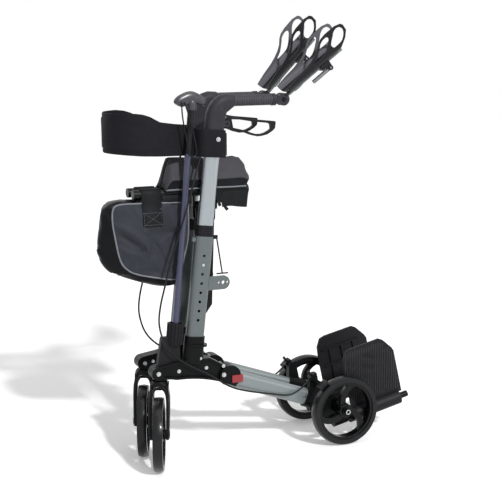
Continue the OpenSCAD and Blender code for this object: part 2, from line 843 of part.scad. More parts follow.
module footplate() {
  outline = sized(plate_shares, plate_len, plate_h);
  color(rubber_black) at_rod() difference() {
    union() {
      bar_x(sleeve_start, sleeve_end, 0, 0, sleeve_r);
      slab(0, plate_t) translate([plate_start, 0]) polygon(outline);
      for (i = [0 : tread_count - 1])
        translate([
          plate_start + tread_edge + i * (plate_len - 2 * tread_edge) / tread_count,
          -plate_t / 2 - tread_h, sleeve_r + tread_w
        ]) cube([tread_w, plate_t, plate_h * tread_share]);
      for (share = under_rib_shares)
        translate([plate_start + tread_edge, 0, sleeve_r + share * (plate_h - sleeve_r - tread_edge)])
          cube([plate_len - 3 * tread_edge, plate_t / 2 + under_rib_h, under_rib_w]);
      for (share = under_rib_shares)
        translate([plate_start + tread_edge + share * (plate_len - 3 * tread_edge), 0, 0])
          cube([under_rib_w, plate_t / 2 + under_rib_h, plate_h * under_rib_share]);
    }
    bar_x(sleeve_start - over, sleeve_end + over, 0, 0, rod_r + run_gap);
  }
}

// Casters and wheels
module fork_cheek() {
  polygon([for (p = cheek_shares) [p[0] * tyre_r, p[1] * crown_top]]);
  translate([trail, axle_z]) circle(r = fork_eye_r);
}

module caster_fork(side) {
  outer = cheek_y + cheek_t;
  color(cast_black) at_caster(side) {
    difference() {
      union() {
        for (y = [-1, 1]) slab(y * (cheek_y + cheek_t / 2), cheek_t) intersection() {
          fork_cheek();
          translate([-tyre_r, 0]) square([3 * tyre_r, crown_low]);
        }
        hull() {
          translate([0, 0, crown_low]) cylinder(r = crown_r, h = crown_t, $fn = hull_sides);
          translate([-crown_r * crown_front_share, -outer, crown_low - 2 * crown_t])
            cube([2 * crown_r, 2 * outer, crown_t]);
        }
        translate([0, 0, crown_low]) cylinder(r = stem_r, h = stem_top - crown_low);
      }
      bar_y([trail, axle_z], tyre_r + fork_clear, -cheek_y, cheek_y, $fn = arc_sides);
    }
  }
  color(steel) at_caster(side) {
    bar_y([trail, axle_z], axle_r, -cheek_y, cheek_y);
    for (y = [-1, 1]) bar_y([trail, axle_z], nut_r, y * (outer + fork_nut_t / 2) - fork_nut_t / 2,
      y * (outer + fork_nut_t / 2) + fork_nut_t / 2, $fn = nut_sides);
  }
}

module tyre(width) {
  color(rubber_black) rotate([90, 0, 0]) rotate_extrude() intersection() {
    translate([tyre_inner, -width / 2]) square([tyre_r, width]);
    translate([tyre_r - tyre_crown_r, 0]) circle(r = tyre_crown_r, $fn = arc_sides);
  }
}

module spoke() {
  intersection() {
    translate([0, -spoke_bend_r]) difference() {
      circle(r = spoke_bend_r + spoke_w / 2);
      circle(r = spoke_bend_r - spoke_w / 2);
    }
    translate([0, -tyre_r]) square([tyre_r, 2 * tyre_r]);
    circle(r = tyre_inner - rim_wall / 2);
  }
}

module rim(width) {
  color(cast_black) rotate([90, 0, 0]) difference() {
    union() {
      rotate_extrude() translate([tyre_inner - rim_wall - fit_gap / 2, -width / 2]) square([rim_wall, width]);
      translate([0, 0, -spoke_t / 2]) linear_extrude(spoke_t)
        for (i = [0 : spoke_count - 1]) rotate(360 * i / spoke_count) spoke();
      translate([0, 0, -hub_w / 2]) cylinder(r = cap_r, h = hub_w);
      translate([0, 0, -width / 2]) cylinder(r = hub_r, h = width);
    }
    translate([0, 0, -hub_w]) cylinder(r = axle_r + run_gap, h = 2 * hub_w);
  }
}

module front_wheel(side) {
  at_caster(side) translate([trail, 0, axle_z]) children();
}

module rear_wheel() {
  translate([axle_x, -track_half, axle_z]) children();
}

// Uprights and handles
module upper_post() {
  color(bright_alu) difference() {
    at_post(upper_foot) obround_tube(upper_w, upper_d, tube_wall, upper_len);
    at_post(first_hole - pin_hole * hole_pitch) bar_y([0, 0], pin_r + fit_gap, -upper_d, 0);
  }
}

module height_pin() {
  inside = upper_d / 2 - tube_wall - fit_gap;
  color(steel) at_post(first_hole - pin_hole * hole_pitch) {
    bar_y([0, 0], pin_r, -lower_d / 2 - pin_proud, -inside + pin_flange_t);
    bar_y([0, 0], pin_flange_r, -inside, -inside + pin_flange_t);
  }
}

module elbow_ring(at, turn, r, t) {
  translate([at[0], -post_y, at[1]]) rotate([0, turn, 0])
    cylinder(r = r, h = t, center = true, $fn = hull_sides);
}

module elbow_shell() {
  hull() {
    at_post(elbow_top - elbow_mid_t)
      linear_extrude(elbow_mid_t + elbow_step, $fn = hull_sides)
        obround(sleeve_w - elbow_step, sleeve_d - elbow_step);
    elbow_ring(elbow_mid, elbow_turn, elbow_mid_r, elbow_mid_t);
  }
  hull() {
    elbow_ring(elbow_mid, elbow_turn, elbow_mid_r - elbow_step, elbow_mid_t - elbow_step);
    elbow_ring([grip_x - elbow_end_t / 2, grip_z], 2 * elbow_turn, elbow_end_r, elbow_end_t);
  }
}

module hinge_cheeks() {
  for (y = [-1, 1]) {
    mid = y * (hinge_in / 2 + hinge_cheek / 2 + fit_gap);
    bar_y([hinge_x, grip_z], hinge_r, -post_y + mid - hinge_cheek / 2, -post_y + mid + hinge_cheek / 2);
    translate([grip_x + grip_len, -post_y + mid - hinge_cheek / 2, grip_z - bar_r])
      cube([hinge_x - grip_x - grip_len, hinge_cheek, 2 * bar_r]);
  }
}

module handle_elbow() {
  lug_mid = lever_t / 2 + lever_cheek / 2 + fit_gap;
  color(cast_black) difference() {
    union() {
      at_post(elbow_start) linear_extrude(elbow_top - elbow_start) obround(sleeve_w, sleeve_d);
      elbow_shell();
      bar_x(grip_x - over, grip_x + grip_len + end_collar_t, -post_y, grip_z, bar_r);
      bar_x(grip_x + grip_len, grip_x + grip_len + end_collar_t, -post_y, grip_z, end_collar_r);
      hinge_cheeks();
      for (y = [-lug_mid, lug_mid]) slab(-post_y + y, lever_cheek) {
        translate(lever_at) circle(r = lever_eye_r + eye_wall);
        translate([lever_at[0] - sleeve_w / 2, lever_at[1] - lever_eye_r])
          square([sleeve_w / 2, 2 * lever_eye_r]);
      }
    }
    at_post(upper_foot) linear_extrude(upper_len + fit_gap) obround(upper_w + fit_gap, upper_d + fit_gap);
    bar_y([hinge_x, grip_z], hinge_pin_r + run_gap, -2 * post_y, 0);
    bar_y(lever_at, lever_pin_r + run_gap, -2 * post_y, 0);
    slab(-post_y, lever_t + 2 * fit_gap) translate(lever_at) circle(r = lever_eye_r + lever_room);
  }
}

module grip() {
  pitch = grip_len / grip_ribs;
  color(grip_black) translate([grip_x, -post_y, grip_z]) rotate([0, 90, 0]) rotate_extrude()
    difference() {
      translate([bar_r + fit_gap / 2, fit_gap]) square([grip_r - bar_r - fit_gap / 2, grip_len - 2 * fit_gap]);
      for (i = [1 : grip_ribs - 1]) translate([grip_r, i * pitch]) circle(r = grip_rib);
    }
}

module brake_lever() {
  color(cast_black) {
    slab(-post_y, lever_t) translate(lever_at) difference() {
      union() {
        polygon(sized(lever_shares, lever_len, lever_h));
        circle(r = lever_eye_r);
      }
      polygon(sized(lever_window_shares, lever_len, lever_h));
    }
    bar_y(lever_at, lever_pin_r, -post_y - lever_t / 2 - lever_cheek, -post_y + lever_t / 2 + lever_cheek);
  }
}

// Armrests
module armrest_rail(tilt) {
  color(cast_black) at_arm(tilt) {
    bar_y([0, 0], hinge_r - hinge_step, -hinge_in / 2, hinge_in / 2);
    bar_y([0, 0], hinge_pin_r, -hinge_in / 2 - hinge_cheek, hinge_in / 2 + hinge_cheek);
    translate([bar_start - over, -hinge_in / 2, -bar_t / 2]) cube([bar_w, hinge_in, bar_t]);
    translate([bar_from, -bar_w / 2, -bar_t / 2]) cube([arm_len - bar_from, bar_w, bar_t]);
    slab(0, gusset_w) polygon([
      [gusset_start, 0], [gusset_start + gusset_len, 0], [gusset_start + gusset_len, -gusset_h * half_share],
      [gusset_start + gusset_len * half_share, -gusset_h], [gusset_start, -gusset_h]
    ]);
  }
}

module trough_section(inset) {
  half = trough_w / 2 - inset;
  tall = 2 * trough_h;
  corner = trough_corner - inset;
  translate([-half, inset + corner]) square([2 * half, tall]);
  translate([-half + corner, inset]) square([2 * (half - corner), tall]);
  for (y = [-1, 1]) translate([y * (half - corner), inset + corner]) circle(r = corner);
}

module arm_trough(tilt) {
  color(cast_black) at_arm(tilt) translate([trough_start, 0, trough_lift]) difference() {
    intersection() {
      rotate([90, 0, 90]) linear_extrude(trough_len) difference() {
        trough_section(0);
        trough_section(trough_wall);
      }
      slab(0, 2 * trough_w) polygon(sized(trough_shares, trough_len, trough_h));
    }
    slab(0, 2 * trough_w) polygon(closed_curve(sized(window_low_shares, trough_len, trough_h), cable_steps));
    slab(0, 2 * trough_w) polygon(closed_curve(sized(window_high_shares, trough_len, trough_h), cable_steps));
  }
}

module trough_clamp(tilt) {
  color(cast_black) at_arm(tilt) difference() {
    union() {
      translate([clamp_start, -clamp_w / 2, clamp_low]) cube([clamp_len, clamp_w, trough_lift - clamp_low]);
      for (y = [-1, 1]) slab(y * (qr_w / 2 + qr_cheek / 2 + fit_gap), qr_cheek) {
        translate(qr_at) circle(r = qr_eye_r + eye_wall);
        translate([qr_at[0] - qr_eye_r, qr_at[1]]) square([2 * qr_eye_r, clamp_low - qr_at[1] + over]);
      }
    }
    translate([clamp_start - over, -bar_w / 2 - clamp_grip, -bar_t / 2 - clamp_grip])
      cube([clamp_len + 2 * over, bar_w + 2 * clamp_grip, bar_t + 2 * clamp_grip]);
    bar_y(qr_at, qr_pin_r + run_gap, -clamp_w, clamp_w);
  }
}

module clamp_lever(tilt) {
  color(steel) at_arm(tilt) {
    bar_y(qr_at, qr_eye_r, -qr_w / 2, qr_w / 2);
    bar_y(qr_at, qr_pin_r, -qr_w / 2 - qr_cheek, qr_w / 2 + qr_cheek);
    translate([qr_at[0] - qr_len, -qr_w / 2, qr_at[1] - qr_eye_r]) cube([qr_len, qr_w, qr_t]);
  }
}

// Seat rails and cross brace. The left arm reaches the right rail
module seat_rail(plane, sign) {
  pin_z = rail_z - pin_down;
  plate_x = plane + sign * (arm_w / 2 + clear_gap + lug_plate_t / 2);
  pin_end = plane - sign * (arm_w / 2 + over);
  color(cast_black) {
    bar_x(rail_front, rail_rear, -rail_y, rail_z, rail_r);
    for (x = [rail_front, rail_rear - rail_cap_len]) bar_x(x, x + rail_cap_len, -rail_y, rail_z, rail_cap_r);
    bar_x(plate_x - lug_plate_t / 2, plate_x + lug_plate_t / 2, -pivot_y, pin_z, 2 * pivot_r);
    translate([plate_x - lug_plate_t / 2, -pivot_y - 2 * pivot_r, pin_z])
      cube([lug_plate_t, 4 * pivot_r, pin_down]);
    bar_x(min(plate_x, pin_end), max(plate_x, pin_end), -pivot_y, pin_z, pivot_r);
  }
}

module slotted_head(x0, x1, z0, z1, half) {
  translate([x0, 0, (z0 + z1) / 2]) rotate([0, 90, 0])
    linear_extrude(x1 - x0) obround(z1 - z0 + 2 * half, 2 * half);
}

module cross_arm(plane) {
  top = brace_len / 2;
  foot = -top;
  front = pivot_x - barrel_len / 2;
  rear = pivot_x + barrel_len / 2;
  color(cast_black) translate([0, 0, brace_mid]) rotate([-turn_folded, 0, 0]) difference() {
    union() {
      slotted_head(front, rear, foot, foot + slot_back, head_half);
      slotted_head(plane - arm_w / 2, plane + arm_w / 2, top - slot_back, top, head_half);
      slab(0, arm_t) polygon([
        [front, foot + slot_back], [rear, foot + slot_back], [rear, foot + arm_bend * arm_bend_share],
        [plane + arm_w / 2, foot + arm_bend], [plane + arm_w / 2, top - slot_back],
        [plane - arm_w / 2, top - slot_back], [plane - arm_w / 2, foot + arm_bend],
        [front, foot + arm_bend * arm_bend_share]
      ]);
      bar_x(plane - arm_w / 2, plane + arm_w / 2, 0, 0, centre_boss_r);
    }
    slotted_head(front - over, rear + over, foot, foot + slot_back, slot_half);
    slotted_head(plane - arm_w / 2 - over, plane + arm_w / 2 + over, top - slot_back, top, slot_half);
    bar_x(plane - arm_w, plane + arm_w, 0, 0, centre_r + run_gap);
  }
}

module brace_pin() {
  front = arm_x[0] - arm_w / 2 - fit_gap;
  rear = arm_x[1] + arm_w / 2 + fit_gap;
  color(steel) {
    bar_x(front - over, rear + over, 0, brace_mid, centre_r);
    bar_x(front - centre_head_t, front, 0, brace_mid, centre_head_r);
    bar_x(rear, rear + centre_head_t, 0, brace_mid, centre_head_r);
  }
}

// Soft goods
module seat() {
  half = sized(seat_fold_shares, rail_y, ridge_h);
  n = len(half);
  upper = concat(half, [for (i = [n - 2 : -1 : 0]) [-half[i][0], half[i][1]]]);
  line = open_curve(upper, curve_steps);
  m = len(line);
  color(cloth_black) intersection() {
    translate([seat_front, 0, rail_z + seat_lift]) rotate([90, 0, 90]) linear_extrude(seat_rear - seat_front)
      polygon(concat(line, [for (i = [m - 1 : -1 : 0]) line[i] - seat_t * fold_side(line, i)]));
    slab(0, 4 * rail_y) translate([seat_front, rail_z + seat_lift - over])
      polygon(sized(seat_slope_shares, seat_rear - seat_front, ridge_h + seat_t));
  }
}

function fold_side(line, i) =
  let (t = unit(line[min(i + 1, len(line) - 1)] - line[max(i - 1, 0)]))
  [t[1], -t[0]];

module bag_slice(shares, half) {
  slab(0, 2 * half) translate([bag_rear, bag_top]) polygon([for (p = shares) [-p[0] * bag_len, -p[1] * bag_h]]);
}

module bag() {
  strap_x = bag_rear - bag_strap_share * bag_len - bag_strap_w / 2;
  color(cloth_black) {
    hull() {
      bag_slice(bag_mid_shares, bag_half * bag_core_share);
      bag_slice(bag_side_shares, bag_half);
    }
    for (y = [-1, 1])
      translate([strap_x, y * rail_y - bag_strap_t / 2, bag_top - bag_strap_in])
        cube([bag_strap_w, bag_strap_t, rail_z - rail_r - fit_gap - bag_top + bag_strap_in]);
  }
}

module band_loop(inset) {
  r = band_y - inset;
  translate([band_y - band_reach, 0]) circle(r = r, $fn = arc_sides);
  translate([band_y - band_reach, -r]) square([band_rear - band_y + band_reach, 2 * r]);
}

module back_band() {
  length = band_rear + band_reach;
  color(cloth_black) intersection() {
    translate([0, 0, band_low - band_h]) linear_extrude(4 * band_h) difference() {
      band_loop(0);
      band_loop(band_t);
      translate([band_rear - over, -band_y]) square([band_reach, 2 * band_y]);
    }
    slab(0, 4 * band_y) translate([-band_reach, band_low]) polygon(sized(band_shares, length, band_h));
  }
  color(cast_black) for (y = [-1, 1])
    translate([band_rear - band_plate_w, y * (band_y + band_plate_t / 2), band_low + band_end_h / 2])
      cube([band_plate_w, band_plate_t, band_end_h - band_plate_w], center = true);
}

// Cane in its cup, ahead of the left post
module cane_cup() {
  color(cast_black) difference() {
    union() {
      at_cane(-cup_floor - clear_gap) linear_extrude(cup_h) {
        circle(r = cup_r);
        for (i = [0 : cup_ribs - 1])
          rotate(360 * i / cup_ribs) translate([cup_r, 0]) circle(r = cup_rib_r);
      }
      slab(-cane_y, cup_web_t) translate(cane_foot) polygon(sized(cup_web_shares, cup_h, cup_h));
    }
    at_cane(-clear_gap) cylinder(r = cup_bore, h = 2 * cup_h);
    slab(-post_y, 2 * bracket_t) translate([0, fit_gap]) bracket_outline();
  }
}

module cane_shaft() {
  color(shaft_purple) {
    at_cane(0) cylinder(r = ferrule_r, h = ferrule_len);
    at_cane(ferrule_len - over) cylinder(r = cane_r, h = cane_len - ferrule_len + over);
  }
}

module cane_handle() {
  color(cast_black) difference() {
    at_cane(cane_len) rotate([0, -cane_lean, 0]) slab(0, handle_t)
      polygon(closed_curve(sized(handle_shares, handle_len, handle_h), curve_steps));
    at_cane(0) cylinder(r = cane_r + fit_gap / 2, h = cane_len + fit_gap);
  }
}

module cane_strap() {
  color(cloth_black) cord(strap_route, strap_r, cable_sides, cable_steps);
}

module brake_cable() {
  color(rubber_black) cord(cable_route, cable_r, cable_sides, cable_steps);
}

// One piece of a pair on its side
module draw(name, side) {
  tilt = side == "left" ? tilt_left : tilt_right;
  sign = side == "left" ? -1 : 1;
  plane = side == "left" ? arm_x[0] : arm_x[1];
  far_plane = side == "left" ? arm_x[1] : arm_x[0];
  if (name == "caster_fork") caster_fork(sign);
  if (name == "front_rim") front_wheel(sign) rim(caster_tyre_w - 2 * rim_in);
  if (name == "front_tyre") front_wheel(sign) tyre(caster_tyre_w);
  mirrored(side) {
    if (name == "bracket") bracket();
    if (name == "lower_post") lower_post();
    if (name == "post_collar") post_collar();
    if (name == "rear_leg") rear_leg();
    if (name == "wheel_carrier") wheel_carrier();
    if (name == "brake_shoe") brake_shoe();
    if (name == "footplate") footplate();
    if (name == "upper_post") upper_post();
    if (name == "handle_elbow") handle_elbow();
    if (name == "grip") grip();
    if (name == "brake_lever") brake_lever();
    if (name == "armrest_rail") armrest_rail(tilt);
    if (name == "arm_trough") arm_trough(tilt);
    if (name == "trough_clamp") trough_clamp(tilt);
    if (name == "clamp_lever") clamp_lever(tilt);
    if (name == "rear_rim") rear_wheel() rim(tyre_w - 2 * rim_in);
    if (name == "rear_tyre") rear_wheel() tyre(tyre_w);
    if (name == "seat_rail") seat_rail(far_plane, -sign);
    if (name == "cross_arm") cross_arm(plane);
    if (name == "fold_button") fold_button();
    if (name == "height_pin") height_pin();
    if (name == "brake_cable") brake_cable();
  }
}

for (name = PAIRED, side = SIDES)
  place() draw(name, side);
place() brace_pin();
place() catch_rod();
place() seat();
place() bag();
place() back_band();
place() cane_shaft();
place() cane_handle();
place() cane_strap();
place() cane_cup();
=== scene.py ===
import json
import math

import bmesh
import bpy
import numpy as np
from mathutils import Matrix, Vector
from mathutils.bvhtree import BVHTree


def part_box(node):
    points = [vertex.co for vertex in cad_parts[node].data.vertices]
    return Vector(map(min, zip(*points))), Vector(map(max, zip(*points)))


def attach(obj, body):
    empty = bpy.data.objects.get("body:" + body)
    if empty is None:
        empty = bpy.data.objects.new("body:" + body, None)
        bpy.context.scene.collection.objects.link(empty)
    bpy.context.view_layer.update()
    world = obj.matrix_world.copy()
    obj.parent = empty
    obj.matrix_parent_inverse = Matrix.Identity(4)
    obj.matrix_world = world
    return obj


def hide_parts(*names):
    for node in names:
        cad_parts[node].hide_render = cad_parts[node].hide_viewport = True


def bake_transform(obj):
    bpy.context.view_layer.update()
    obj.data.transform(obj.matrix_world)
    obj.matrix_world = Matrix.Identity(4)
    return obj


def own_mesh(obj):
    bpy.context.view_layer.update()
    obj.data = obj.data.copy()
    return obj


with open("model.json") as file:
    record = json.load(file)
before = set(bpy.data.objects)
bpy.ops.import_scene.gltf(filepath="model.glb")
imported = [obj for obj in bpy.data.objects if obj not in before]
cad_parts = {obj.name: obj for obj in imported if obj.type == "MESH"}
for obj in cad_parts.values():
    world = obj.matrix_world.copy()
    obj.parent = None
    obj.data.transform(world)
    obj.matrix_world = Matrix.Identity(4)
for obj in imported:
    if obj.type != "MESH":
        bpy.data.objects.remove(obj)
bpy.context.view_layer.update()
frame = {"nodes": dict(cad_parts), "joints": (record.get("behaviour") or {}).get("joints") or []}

bl_info = {
    "name": "Upright walker",
    "version": (1, 0, 0),
    "blender": (4, 5, 0),
    "location": "3D View > Sidebar > Walker",
    "description": "Dresses a folded upright walker with finishes, cloth, cords, fasteners and a studio stage",
    "category": "Object",
}

# Places are given in millimetres from the foot of the posts: X to the rear, Y to the user's right, Z up.
MM = 0.001
SIDES = {"left": -1, "right": 1}
STEM_AHEAD = 95
POST_Y = 62
POST_FOOT_Z = 262
JOINTS = {joint["name"]: joint for joint in frame["joints"]}
STEMS = [Vector(JOINTS["swivel_" + side]["pos_m"]) for side in SIDES]
POST_FOOT = Vector((STEMS[0].x + STEM_AHEAD * MM, (STEMS[0].y + STEMS[1].y) / 2, 0))
POST_UP = Vector(JOINTS["height"]["axis"])
POST_BACK = Vector((POST_UP.z, 0, -POST_UP.x))
REARWARD, RIGHTWARD, UPWARD = Vector((1, 0, 0)), Vector((0, 1, 0)), Vector((0, 0, 1))


def at(x, y, z):
    """A place on the walker, in the frame's metres."""
    return POST_FOOT + Vector((x, y, z)) * MM


def on_post(side, along):
    """A place on a post's centreline, measured along it from its foot."""
    return at(0, SIDES[side] * POST_Y, POST_FOOT_Z) + POST_UP * along * MM


def linear(text):
    """An sRGB hex colour as linear red, green and blue."""
    parts = [int(text[i:i + 2], 16) / 255 for i in (0, 2, 4)]
    return tuple(p / 12.92 if p <= 0.04045 else ((p + 0.055) / 1.055) ** 2.4 for p in parts)


# Sizes and colours that a user would change

def colour(name, about, text):
    return bpy.props.FloatVectorProperty(
        name=name, description=about, subtype="COLOR", size=3, min=0, max=1, default=linear(text)
    )


def length(name, about, millimetres):
    return bpy.props.FloatProperty(
        name=name, description=about, unit="LENGTH", subtype="DISTANCE", min=0, default=millimetres * MM
    )


class WalkerColours(bpy.types.PropertyGroup):
    cast: colour("Cast brackets", "Powder coat on the cast brackets and forks", "0b0c0d")
    paint: colour("Grey paint", "Metallic paint on the lower posts", "5c6364")
    # Painted light: the lower posts' grey paint, made lighter on the rear legs because their faces tilt up to the
    # lamps
    leg: colour("Leg paint with painted light", "The grey paint made lighter on the rear legs as painted light", "7a8283")
    bright: colour("Bright posts", "Satin anodised upper posts", "a2a8ac")
    moulded: colour("Moulded parts", "Black nylon mouldings", "18181b")
    # Painted light: a lighter grey laid on the inner faces of the trough walls, where the lamps light them
    trough_painted_light: colour("Trough painted light", "Painted light on the inner faces of the troughs", "5a595f")
    tread: colour("Tread", "Rubber ribs of the footplates", "353336")
    elbow: colour("Elbows", "Soft-touch paint on the handle elbows", "2d2c32")
    lever: colour("Clamp levers", "Die-cast zinc of the quick-release levers", "77777a")
    rubber: colour("Grips", "Ribbed rubber of the grips", "3a393d")
    tyre: colour("Tyres", "Polyurethane of the tyres", "0f1012")
    steel: colour("Fasteners", "Zinc-plated bolts and pins", "c9ccce")
    red: colour("Fold buttons", "Red release buttons", "8c2026")
    jacket: colour("Cables", "Jacket of the brake cables and wrist cord", "141517")
    bag: colour("Bag panels", "Woven polyester of the bag's sides", "33363c")
    gusset: colour("Bag gusset", "Coated cloth round the bag's edge", "111214")
    piping: colour("Piping", "Light piping along the seams", "787b81")
    seat: colour("Seat", "Woven polyester of the seat", "434247")
    band: colour("Backrest band", "Knitted cover of the backrest band", "1c1b1f")
    webbing: colour("Webbing", "Straps of the bag", "17191b")
    thread: colour("Thread", "Stitches on the bag's straps", "5a5c60")
    shaft: colour("Cane shaft", "Anodised shaft of the cane", "44475c")
    handle: colour("Cane handle", "Moulded handle of the cane", "37373c")


class WalkerSizes(bpy.types.PropertyGroup):
    lens: bpy.props.FloatProperty(
        name="Lens", description="Focal length of the camera", unit="CAMERA", default=92.5
    )
    camera_reach: length("Camera reach", "Distance from the camera to its target", 3605)
    cable_radius: length("Cable radius", "Radius of the brake cables", 2.5)
    cord_radius: length("Wrist cord radius", "Radius of the cane's wrist cord", 2)
    piping_radius: length("Piping radius", "Radius of the piping on bag and seat", 2.3)
    bolt_radius: length("Bolt radius", "Radius of a bolt's head", 4.6)
    stitch_pitch: length("Stitch pitch", "Distance between stitches, drawn coarse enough to see", 6)
    bag_crown: length("Bag crown", "How far the bag's side panels bulge", 5)


def sizes():
    return bpy.context.scene.walker_sizes


def colours():
    return bpy.context.scene.walker_colours


# Materials

def add_node(tree, kind, settings=None, inputs=None):
    """Adds a node, sets its properties, and sets or links its inputs."""
    node = tree.nodes.new(kind)
    for key, value in (settings or {}).items():
        setattr(node, key, value)
    for key, value in (inputs or {}).items():
        socket = node.inputs[key]
        if isinstance(value, bpy.types.NodeSocket):
            tree.links.new(value, socket)
        else:
            socket.default_value = value
    return node


def rgba(tone, gain=1.0):
    return (*(min(1.0, part * gain) for part in tone), 1.0)


def reckon(tree, operation, a, b):
    """A sum on two sockets or numbers."""
    return add_node(tree, "ShaderNodeMath", {"operation": operation}, {0: a, 1: b}).outputs[0]


def spread(tree, value, low, high):
    """A value from 0 to 1, spread between two ends."""
    ends = {"Value": value, "To Min": low, "To Max": high}
    return add_node(tree, "ShaderNodeMapRange", inputs=ends).outputs["Result"]


def mixed(tree, share, first, second):
    """A colour between two colours."""
    return add_node(tree, "ShaderNodeMix", {"data_type": "RGBA"}, {0: share, 6: first, 7: second}).outputs[2]


def noise(tree, place, size, detail):
    """Noise with patches of a size in millimetres."""
    inputs = {"Vector": place, "Scale": 1 / (size * MM), "Detail": detail}
    return add_node(tree, "ShaderNodeTexNoise", inputs=inputs).outputs["Fac"]


def grain(tree, place, size):
    """A fine even grain of a size in millimetres."""
    return noise(tree, place, size, 2.0)


def weave(tree, place, pitch):
    """Warp and weft as two crossing sets of waves, with a thread pitch in millimetres."""
    inputs = {"Vector": place, "Scale": math.pi / 10 / (pitch * MM)}
    bands = [{"wave_type": "BANDS", "bands_direction": way} for way in "XZ"]
    warp, weft = (add_node(tree, "ShaderNodeTexWave", way, inputs).outputs["Fac"] for way in bands)
    return reckon(tree, "MAXIMUM", warp, weft)


def plain(name, tone, **constants):
    """A material with one Principled shader; returns it with its tree and the shader's sockets."""
    made = bpy.data.materials.new(name)
    made.use_nodes = True
    made.diffuse_color = rgba(tone)
    sockets = made.node_tree.nodes["Principled BSDF"].inputs
    sockets["Base Color"].default_value = rgba(tone)
    for socket, value in constants.items():
        sockets[socket.replace("_", " ")].default_value = value
    return made, made.node_tree, sockets


def coat(name, tone, patch, smear=None, bump=None, stretch=None, **constants):
    """A material whose colour drifts over patches and whose roughness drifts over smears: each has a size in
    millimetres and two ends. Bump is a pattern, its size and depth in millimetres, and its strength."""
    made, tree, sockets = plain(name, tone, **constants)
    place = add_node(tree, "ShaderNodeTexCoord").outputs["Object"]
    if stretch:
        place = add_node(
            tree, "ShaderNodeMapping", {"vector_type": "POINT"}, {"Vector": place, "Scale": stretch}
        ).outputs["Vector"]
    size, low, high = patch
    shades = mixed(tree, noise(tree, place, size, 5.0), rgba(tone, low), rgba(tone, high))
    tree.links.new(shades, sockets["Base Color"])
    if smear:
        size, low, high = smear
        tree.links.new(spread(tree, noise(tree, place, size, 3.0), low, high), sockets["Roughness"])
    if bump:
        pattern, size, depth, strength = bump
        inputs = {"Strength": strength, "Distance": depth * MM, "Height": pattern(tree, place, size)}
        tree.links.new(add_node(tree, "ShaderNodeBump", inputs=inputs).outputs["Normal"], sockets["Normal"])
    return made


def grey_paint(name, tone, clear):
    """Metallic grey paint over extruded aluminium: flakes far under a millimetre, drawn at 2.5 mm to show."""
    return coat(
        name, tone, (2.5, 0.9, 1.08), (60, 0.36, 0.48), (grain, 6, 0.05, 0.3),
        Metallic=0.35, Coat_Weight=clear, Coat_Roughness=0.2,
    )


def moulded(name, tone, shine):
    """Injection-moulded nylon or rubber: dull, its spark texture of about 0.3 mm drawn at 1.6 mm to show."""
    return coat(
        name, tone, (30, 0.85, 1.2), (18, 0.42, 0.56), (grain, 1.6, 0.15, 0.5), Specular_IOR_Level=shine
    )


def cloth(name, tone, pitch, depth, rough, sheen):
    """Woven polyester: threads of about 0.4 mm, drawn at a few millimetres to show, with a soft sheen."""
    return coat(
        name, tone, (14, 0.85, 1.15), (9, rough - 0.06, rough + 0.06), (weave, pitch, depth, 0.6),
        Specular_IOR_Level=0.1, Sheen_Weight=sheen, Sheen_Roughness=0.4,
    )


def trough_with_painted_light(side, tone):
    """Moulded black nylon trough, with painted light: a lighter grey on the inner faces of its walls, where the
    lamps light them.
    """
    made = coat("nylon_trough_painted_light_" + side, tone.moulded, (30, 0.85, 1.2), Specular_IOR_Level=0.16)
    tree = made.node_tree
    base = tree.nodes["Principled BSDF"].inputs["Base Color"]
    reach = [v.co.y for v in frame["nodes"]["arm_trough_" + side].data.vertices]
    place = add_node(tree, "ShaderNodeTexCoord").outputs
    spot, facing = (
        add_node(tree, "ShaderNodeSeparateXYZ", inputs={"Vector": place[kind]}).outputs["Y"]
        for kind in ("Object", "Normal")
    )
    out = reckon(tree, "SUBTRACT", spot, (min(reach) + max(reach)) / 2)
    # A wall stands about 30 mm off the middle, and its inner face looks back at it
    inner = reckon(tree, "LESS_THAN", reckon(tree, "MULTIPLY", out, facing), -0.012)
    # Painted light: the inner faces of the walls take the lighter grey
    tree.links.new(mixed(tree, inner, base.links[0].from_socket, rgba(tone.trough_painted_light)), base)
    return made


